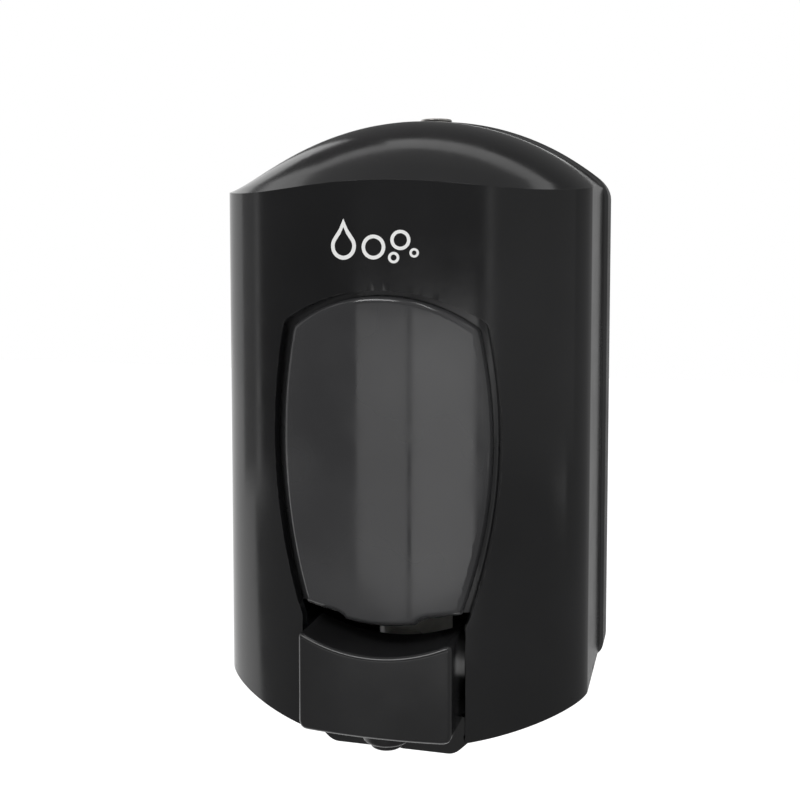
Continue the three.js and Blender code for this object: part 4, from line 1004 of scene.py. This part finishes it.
# ------------------------------
# Tank. Blow-moulded in smoked, see-through plastic with a 2 mm wall. Its bowed face stands forward into the
# cover's window, with a rounded belly below, a filling mouth on top and a neck for the pump underneath.
# ------------------------------
smoked, smoke = shader("smoked_tank", (0.05, 0.05, 0.052), 0.1, IOR=1.49, Transmission_Weight=0.3)
tree = smoked.node_tree
tree.links.new(tint(tree, spread(tree, noise(tree, 18, 3), 0.35, 0.65, 0, 1), (0.044, 0.044, 0.046),
                    (0.066, 0.066, 0.068)), smoke.inputs["Base Color"])
tree.links.new(spread(tree, noise(tree, 70, 4), 0.3, 0.7, 0.06, 0.15), smoke.inputs["Roughness"])
bump(tree, smoke, noise(tree, 55, 2), 0.03, 0.6)

TANK_HALF = 50.0
TANK_REAR = 22.0
TANK_WALL = 2.0
PUMP_Y = -37.0


def tank_face_outline(inset):
    """The face's outline: the window drawn in, with a rounded belly at the bottom."""
    sides = window_outline(3.0 + inset)
    low = TANK_BOTTOM + inset
    sides = [(x, max(z, low)) for x, z in sides]
    half = 12.5 - inset
    belly = eased((-half - 3, low - 1.2), (-half, low - 1.6), (-half + 1.5, low - 3.4), 5)
    belly += eased((-half + 1.5, low - 3.4), (0, low - 5.0), (half - 1.5, low - 3.4), 12)[1:]
    belly += eased((half - 1.5, low - 3.4), (half, low - 1.6), (half + 3, low - 1.2), 5)[1:]
    return sides + belly


def shrink_loop(loop, distance):
    """Draws a counter-clockwise closed loop in by distance."""
    result = []
    for i, (x, z) in enumerate(loop):
        (x0, z0), (x1, z1) = loop[i - 1], loop[(i + 1) % len(loop)]
        long = math.hypot(x1 - x0, z1 - z0) or 1
        result.append((x - (z1 - z0) / long * distance, z + (x1 - x0) / long * distance))
    return result


def bowed_pad(outline, depth_at, rear_y, r, steps=5, open_rear=False):
    """A pad with straight sides whose front follows depth_at(x) and is rounded by r at its edge."""
    half = max(x for x, _ in outline)
    places = [half * (i / 24 - 1) for i in range(49)]
    depth = in_facets(places, depth_at)
    form = bmesh.new()
    turns = [math.pi / 2 * k / steps for k in range(steps + 1)]
    loops = [outline] + [shrink_loop(outline, r * (1 - math.cos(t))) for t in turns]
    loops = cut_together([loop + loop[:1] for loop in loops], places, half / 24 * 0.3)
    rings = [[(x, rear_y, z) for x, z in loops[0][:-1]]]
    rings += [[(x, -depth(x) + r * (1 - math.sin(t)), z) for x, z in loop[:-1]] for t,
              loop in zip(turns, loops[1:])]
    corners = [[form.verts.new(p) for p in ring_points + ring_points[:1]] for ring_points in rings]
    for near, far in zip(corners, corners[1:]):
        add_strip(form, near, far)
    front = [(x, z) for x, _, z in rings[-1]]
    low, high = min(z for _, z in front) - 1, max(z for _, z in front) + 1
    add_flat(form, front, places[1:-1], lambda x: low, lambda x: high, lambda x, z: (x, -depth(x), z))
    if not open_rear:
        form.faces.new(corners[0][:-1])
    bmesh.ops.remove_doubles(form, verts=form.verts, dist=0.02)
    bmesh.ops.dissolve_degenerate(form, edges=form.edges, dist=0.01)
    bmesh.ops.recalc_face_normals(form, faces=form.faces)
    return form


def tank_block(inset, r):
    """The tank's body: the cover's plan drawn in, cut square at the sides and back."""
    half, room = TANK_HALF - inset, COVER_WALL + 1.6 + inset
    plan = [(half - 3, -TANK_REAR - inset), (-half + 3, -TANK_REAR - inset)]
    plan = eased((half, -TANK_REAR - inset - 3), (half, -TANK_REAR - inset), plan[0], 5)
    plan += eased((-plan[-1][0], plan[-1][1]), (-half, plan[-1][1]), (-half, plan[-1][1] - 3), 5)
    steps = 64
    plan += [(-half * math.cos(math.pi * i / steps),
              -face_depth(-half * math.cos(math.pi * i / steps), room)) for i in range(steps + 1)]
    form = flat_form([plan], TANK_BOTTOM + inset, TANK_TOP - inset, r, 4)
    for v in form.verts:
        v.co = Vector((v.co.x, v.co.z, v.co.y))
    bmesh.ops.recalc_face_normals(form, faces=form.faces)
    return form


def tank_skin(inset):
    pad = bowed_pad(tank_face_outline(inset), lambda x: face_depth(x, 0.2 + inset), -66 - inset, 2.2
                    - inset / 2)
    return fused(tank_block(inset, 3.0 - inset), pad)


MOUTH = (20.0, -46.0, -30.0)
RIM_TOP = TANK_TOP + 2.5
NECK_RADIUS, NECK_BORE, NECK_LENGTH = 8.5, 5.5, 8
tank = tank_skin(0)
tank = fused(tank, block((-MOUTH[0] - 2, MOUTH[1] - 2, TANK_TOP - 1),
                         (MOUTH[0] + 2, MOUTH[2] + 2, RIM_TOP), 0.6))
tank = fused(tank, rod(NECK_RADIUS, TANK_BOTTOM - NECK_LENGTH, TANK_BOTTOM + 1, "Z", (0, PUMP_Y, 0), 0.4))
tank = cut_away(tank, tank_skin(TANK_WALL),
                block((-MOUTH[0], MOUTH[1], TANK_TOP - 10), (MOUTH[0], MOUTH[2], RIM_TOP + 1), 0.3),
                rod(NECK_BORE, TANK_BOTTOM - NECK_LENGTH - 1, TANK_BOTTOM + 5, "Z", (0, PUMP_Y, 0), 0))
LID_PIN = (0.0, -24.4, 62.5)


def lid_ear(side):
    near, far = 12.3, 15.3
    x0, x1 = span(side, near, far)
    return combined(tube(1.5, 2.2, side * near, side * far, "X", LID_PIN, 0.15, 40),
                    block((x0, LID_PIN[1] - 2, TANK_TOP - 1), (x1, LID_PIN[1] + 2, LID_PIN[2] - 1.6),
                          0.3))


tank = combined(tank, mirror_pair(lid_ear))
tank_piece = put_together("tank_moulding", tank, "body", "smoked_clear", smoked, "tank")
true_bow(tank_piece, lambda x: face_depth(x, 0.2))

# ------------------------------
# Lid of the filling mouth. A satin black cap with a skirt, a finger tab in front and a knuckle behind that
# turns on the lid pin.
# ------------------------------
lid_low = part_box("tank_lid")[0] / MM
reach = MOUTH[0] + 2 + 0.3 + 1.4
front = MOUTH[1] - 2 - 0.3 - 1.4
cap = fused(block((-reach, front, TANK_TOP + FIT), (reach, MOUTH[2] + 2.3, RIM_TOP + 2.1), 1.0, 4),
            block((-12, MOUTH[2] + 1, RIM_TOP + 0.3), (12, LID_PIN[1], RIM_TOP + 2.1), 0.4))
cap = fused(cap, rod(2.2, -12, 12, "X", LID_PIN, 0.3, 48))
cap = fused(cap, block((-5, lid_low.y, RIM_TOP + 0.3), (5, front + 1.5, RIM_TOP + 2.1), 0.7, 4))
cap = cut_away(cap, block((-reach + 1.4, front + 1.4, TANK_TOP - 5),
                          (reach - 1.4, MOUTH[2] + 2.6, RIM_TOP + 0.3), 0.3),
               rod(1.5, -30, 30, "X", LID_PIN, 0, 32))
put_together("tank_lid_cap", cap, "lid", "satin_black", satin_black, "tank_lid")

# ------------------------------
# Push button. A black ABS cap with a gently crowned face, a hollowed top edge that clears the tank's belly,
# 2 mm walls, and a hub behind that is pressed on the pump's piston rod.
# ------------------------------
button_black = moulded_black("gloss_black_button", (0.011, 0.011, 0.0115), 0.2, 380, 0.01, 0.05)
BUTTON_HALF = 23.8
button_low, button_high = (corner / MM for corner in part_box("push_button"))
BUTTON_FACE = -button_low.y
BUTTON_REAR = -button_high.y
BUTTON_TOP_SAG = 4.7


def button_outline(inset=0.0):
    half, low, top = BUTTON_HALF - inset, button_low.z + inset, button_high.z - inset
    line = eased((half - 3, low), (half, low), (half, low + 3), 6)
    line += [(half, low + 3 + (top - 4 - low) * i / 8) for i in range(1, 8)]
    line += eased((half, top - 1.4), (half - 0.1, top), (half - 1.6, top - 0.2), 4)
    arch = arc_through((half - 1.6, top - 0.2), (0, top - BUTTON_TOP_SAG), (-half + 1.6, top - 0.2), 30)
    line += arch[1:-1]
    line += [(-x, z) for x, z in reversed(line[:line.index(arch[1])])]
    bottom = [(-half + 3 + (2 * half - 6) * i / 16, low) for i in range(1, 16)]
    return line + bottom


crown_radius = ((BUTTON_HALF + 1) ** 2 + 4) / 4


def crown(x):
    return BUTTON_FACE - crown_radius + math.sqrt(crown_radius ** 2 - x ** 2)


button = bowed_pad(button_outline(), crown, -BUTTON_REAR, 1.3, 6, open_rear=True)
button_cap = put_together("push_button_cap", button, "button", "gloss_black_button", button_black,
                          "push_button")
wall = button_cap.modifiers.new("wall", "SOLIDIFY")
wall.thickness = TANK_WALL * MM
wall.offset = -1
soften(button_cap, 0.35, 3, 50)
true_bow(button_cap, crown)
hub = tube(3.8, 6, -74.5, -89.4, "Y", (0, 0, PUMP_Z), 0.4)
put_together("push_button_hub", hub, "button", "gloss_black_button", button_black)

# ------------------------------
# Pump. Barrel, cup and end cap are moulded in natural white acetal, slightly waxy. A collar screws the cup to
# the tank's neck on a rubber gasket. A white piston with a rubber lip seal runs in the barrel.
# ------------------------------
def acetal(name, colour):
    """Natural acetal: milky, with faint flow marks and a fine dull skin."""
    material, bsdf = shader(name, colour, 0.42, IOR=1.48, Subsurface_Weight=0.15)
    bsdf.inputs["Subsurface Radius"].default_value = (0.002, 0.002, 0.002)
    tree = material.node_tree
    flow = noise(tree, 60, 4, (1, 3, 1))
    tree.links.new(tint(tree, spread(tree, flow, 0.35, 0.65, 0, 1), tuple(c * 0.9 for c in colour), colour),
                   bsdf.inputs["Base Color"])
    tree.links.new(spread(tree, noise(tree, 200, 4), 0.3, 0.7, 0.34, 0.52), bsdf.inputs["Roughness"])
    bump(tree, bsdf, noise(tree, 900, 2), 0.02)
    return material


natural_white = acetal("natural_acetal", (0.69, 0.69, 0.64))
rubber, seal_skin = shader("seal_rubber", (0.022, 0.022, 0.023), 0.75, IOR=1.5)
tree = rubber.node_tree
tree.links.new(tint(tree, noise(tree, 300, 5), (0.016, 0.016, 0.017), (0.032, 0.032, 0.033)),
               seal_skin.inputs["Base Color"])
tree.links.new(spread(tree, noise(tree, 500, 4), 0.3, 0.7, 0.62, 0.85), seal_skin.inputs["Roughness"])
bump(tree, seal_skin, noise(tree, 1400, 3), 0.05)

BORE, PUMP_RADIUS = 6.8, 9.2
PUMP_FRONT, PUMP_REAR = 62.0, 28.0
CUP_RADIUS = 12.5
LUG_X = 16.5
SCREW_ROOM = 1.7
cup_top = TANK_BOTTOM - 2.6
cup_floor = TANK_BOTTOM - NECK_LENGTH - 2.6 - 0.6
pump = rod(PUMP_RADIUS, -PUMP_REAR, -PUMP_FRONT, "Y", (0, 0, PUMP_Z), 0.8, 72)
pump = fused(pump, rod(CUP_RADIUS, PUMP_Z, cup_top, "Z", (0, PUMP_Y, 0), 0.6, 72))
lugs = fused(block((-LUG_X, PUMP_Y - 4, PUMP_Z - 2.5), (LUG_X, PUMP_Y + 4, PUMP_Z), 0.4),
             mirror_pair(lambda side: rod(4, PUMP_Z - 2.5, PUMP_Z, "Z", (side * LUG_X, PUMP_Y, 0), 0.4,
                                          48)))
pump = fused(pump, lugs)
pump = cut_away(pump, rod(8.8, cup_floor, cup_top + 1, "Z", (0, PUMP_Y, 0), 0),
                rod(BORE, -PUMP_FRONT - 1, -PUMP_REAR - 3, "Y", (0, 0, PUMP_Z), 0),
                rod(1.2, PUMP_Z - 11, cup_floor + 1, "Z", (0, PUMP_Y, 0), 0, 32),
                rod(2.3, cup_floor - 6, cup_floor - 1, "Z", (0, PUMP_Y, 0), 0, 32),
                mirror_pair(lambda side: rod(SCREW_ROOM, PUMP_Z - 9, PUMP_Z + 1, "Z",
                                             (side * LUG_X, PUMP_Y, 0), 0, 32)))
put_together("pump_housing_moulding", pump, "body", "natural_white", natural_white, "pump_housing")

cap_face = -PUMP_FRONT - FIT
end_cap = turned([(3.8, cap_face + 2.5), (6.5, cap_face + 2.5), (6.5, cap_face), (PUMP_RADIUS, cap_face),
                  (PUMP_RADIUS, cap_face - 2.2), (3.8, cap_face - 2.2), (3.8, cap_face + 2.5)], "Y",
                 (0, 0, PUMP_Z), 0.35, 72)
put_together("pump_end_cap_moulding", end_cap, "body", "natural_white", natural_white, "pump_end_cap")

collar_top = TANK_BOTTOM - FIT
collar = turned([(8.8, collar_top), (15, collar_top), (15, collar_top - 11), (12.8, collar_top - 11),
                 (12.8, collar_top - 2), (8.8, collar_top - 2), (8.8, collar_top)], "Z", (0, PUMP_Y, 0),
                0.5, 96)
grips = []
for i in range(12):
    turn = math.pi / 6 * i
    grips.append(rod(1, collar_top - 10.4, collar_top - 0.6, "Z",
                     (15 * math.cos(turn), PUMP_Y + 15 * math.sin(turn), 0), 0.4, 16))
put_together("pump_collar_moulding", combined(collar, *grips), "body", "satin_black", satin_black,
             "pump_collar")

gasket_low, gasket_high = (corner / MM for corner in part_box("neck_gasket"))
gasket = tube(NECK_BORE, NECK_RADIUS, gasket_low.z, gasket_high.z, "Z", (0, PUMP_Y, 0), 0.6, 64)
put_together("neck_gasket_ring", gasket, "body", "seal_rubber", rubber, "neck_gasket")

piston_line = [(0, -78.5), (3.5, -78.5), (3.5, -58), (6.3, -58), (6.3, -56.6), (5.0, -56.6), (5.0, -53.6),
               (6.3, -53.6), (6.3, -52.2), (0, -52.2)]
put_together("piston_rod", turned(piston_line, "Y", (0, 0, PUMP_Z), 0.3, 64), "button", "natural_white",
             natural_white, "piston")
seal_low, seal_high = (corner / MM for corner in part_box("piston_seal"))
lips = [(5.3, seal_low.y), (6.5, seal_low.y), (6.15, seal_low.y + 0.8), (6.15, seal_high.y - 0.8),
        (6.5, seal_high.y), (5.3, seal_high.y), (5.3, seal_low.y)]
put_together("piston_lip_seal", turned(lips, "Y", (0, 0, PUMP_Z), 0.2, 64), "button", "seal_rubber", rubber,
             "piston_seal")

for node, body in (("inlet_ball", "inlet_valve"), ("outlet_ball", "outlet_valve")):
    low, high = (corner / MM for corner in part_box(node))
    ball = bmesh.new()
    bmesh.ops.create_icosphere(ball, subdivisions=4, radius=(high.z - low.z) / 2)
    bmesh.ops.translate(ball, vec=(low + high) / 2, verts=ball.verts)
    put_together(node + "_ground", ball, body, "steel", plated_steel, node)

# ------------------------------
# Springs. Stainless wire, wound with its end coils closed and ground flat. The return spring pushes the
# piston forward, and the small one holds the outlet ball on its seat.
# ------------------------------


def coil_spring(radius, wire, low, high, turns, wire_sides=12, steps_a_turn=36):
    """A compression spring along Z with one closed coil at each end."""
    form = bmesh.new()
    count = int(turns * steps_a_turn)
    run = high - low - 2 * wire
    dead = 2.1 * wire / run
    rings = []
    for i in range(count + 1):
        t = i / count
        end = 1 / turns
        if t < end:
            rise = dead * t / end
        elif t > 1 - end:
            rise = 1 - dead * (1 - t) / end
        else:
            rise = dead + (1 - 2 * dead) * (t - end) / (1 - 2 * end)
        a = 2 * math.pi * turns * t
        out = Vector((math.cos(a), math.sin(a), 0))
        centre = out * radius + Vector((0, 0, low + wire + run * rise))
        rings.append([form.verts.new(centre + wire * (out * math.cos(b) + Vector((0, 0, math.sin(b)))))
                      for b in (2 * math.pi * k / wire_sides for k in range(wire_sides))])
    for a, b in zip(rings, rings[1:]):
        for k in range(wire_sides):
            form.faces.new((a[k], a[(k + 1) % wire_sides], b[(k + 1) % wire_sides], b[k]))
    form.faces.new(rings[0])
    form.faces.new(rings[-1])
    return form


spring_low, spring_high = (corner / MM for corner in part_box("return_spring"))
coil = coil_spring(4.8, 0.5, spring_low.y, spring_high.y, 7)
for v in coil.verts:
    v.co = Vector((v.co.x, v.co.z, v.co.y + PUMP_Z))
return_spring = put_together("return_spring_coil", coil, "body", "steel", spring_steel, "return_spring")
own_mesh(return_spring)

valve_low, valve_high = (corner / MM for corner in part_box("outlet_spring"))
valve_coil = coil_spring(1.45, 0.28, valve_low.z, valve_high.z, 4)
bmesh.ops.translate(valve_coil, vec=(0, PUMP_Y, 0), verts=valve_coil.verts)
valve_spring = put_together("outlet_spring_coil", valve_coil, "body", "steel", spring_steel,
                            "outlet_spring")
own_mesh(valve_spring)

# ------------------------------
# Nozzle. A satin black arm under the pump that carries the soap forward to a round spout below the button.
# ------------------------------
ARM_TOP = -91.5
ARM_LOW = ARM_TOP - 7.6
spout_top = button_low.z - FIT
spout_low = spout_top - 6.4
SPOUT_Y = -75.0
nozzle = fused(block((-6, -58, ARM_LOW), (6, PUMP_Y + 5, ARM_TOP), 0.8),
               block((-6, SPOUT_Y, ARM_LOW), (6, -56, spout_top), 0.6))
nozzle = fused(nozzle, rod(7.5, spout_low, spout_top, "Z", (0, SPOUT_Y, 0), 1.2, 72))
nozzle = fused(nozzle, rod(5, spout_low - 2, spout_low + 1, "Z", (0, SPOUT_Y, 0), 0.6, 64))
nozzle = fused(nozzle, rod(5, ARM_LOW - 3.5, ARM_LOW + 1, "Z", (0, PUMP_Y, 0), 0.6, 64))
nozzle = cut_away(nozzle, rod(2.3, ARM_TOP - 7, ARM_TOP + 1, "Z", (0, PUMP_Y, 0), 0, 40),
                  rod(1.6, SPOUT_Y, PUMP_Y, "Y", (0, 0, ARM_LOW + 2.4), 0, 32),
                  turned([(0, spout_low - 3), (3.3, spout_low - 3), (2.8, spout_low - 1.5),
                          (2.8, ARM_LOW + 2.4), (0, ARM_LOW + 2.4)], "Z", (0, SPOUT_Y, 0), 0, 48))
put_together("nozzle_moulding", nozzle, "body", "satin_black", satin_black, "nozzle")

# ------------------------------
# Bottom tray. A trough of satin black ABS, screwed to the plate, that closes the bottom under the pump,
# guides the button's sides, and stands on the two posts that the pump's lugs are screwed to.
# ------------------------------
TRAY_LOW, TRAY_FRONT, TRAY_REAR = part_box("bottom_tray")[0].z / MM, 68.0, 7.3


def tray_outline(inset):
    low, knee = TRAY_LOW + inset, PUMP_Z - 15 + inset / 2
    half, foot, top = TRAY_TOP_HALF - inset, 20 - inset / 2, PUMP_Z - 6 + 2 * inset
    return ([(-half, top), (-half, knee + 2)] + eased((-half, knee + 2), (-half, knee),
                                                      (-half + 1.6, knee - 1.5), 4)
            + eased((-foot - 1.8, low + 1.6), (-foot, low), (-foot + 2, low), 4)
            + eased((foot - 2, low), (foot, low), (foot + 1.8, low + 1.6), 4)
            + eased((half - 1.6, knee - 1.5), (half, knee), (half, knee + 2), 4) + [(half, top)])


tray = flat_form([tray_outline(0)], -TRAY_REAR, -TRAY_FRONT, 0.9, 4)
tray = cut_away(
    tray, flat_form([tray_outline(2)], -TRAY_REAR - 2, -TRAY_FRONT + 2, 0),
    block((-40, -99, button_low.z - FIT), (40, -TRAY_FRONT + 6, -60), 0),
)


def tray_guide(side):
    x0, x1 = span(side, BUTTON_HALF + FIT, TRAY_TOP_HALF - 1)
    return block((x0, -TRAY_FRONT + 1, PUMP_Z - 15), (x1, -TRAY_FRONT + 17, PUMP_Z - 6), 0.4)


tray = fused(tray, mirror_pair(tray_guide))
tray = cut_away(tray, block((-6.3, -99, ARM_LOW - 0.3), (6.3, -TRAY_FRONT + 6, -60), 0),
                rod(7.8, -120, -60, "Z", (0, SPOUT_Y, 0), 0, 64),
                mirror_pair(lambda side: rod(SCREW_ROOM, -12, 0, "Y",
                                             (side * TRAY_SCREW_X, 0, TRAY_SCREW_Z), 0, 32)))
posts = mirror_pair(lambda side: tube(SCREW_ROOM, 3.6, TRAY_LOW + 1, PUMP_Z - 2.8, "Z",
                                      (side * LUG_X, PUMP_Y, 0), 0.3, 48))
put_together("bottom_tray_moulding", combined(tray, posts), "body", "satin_black", satin_black,
             "bottom_tray")
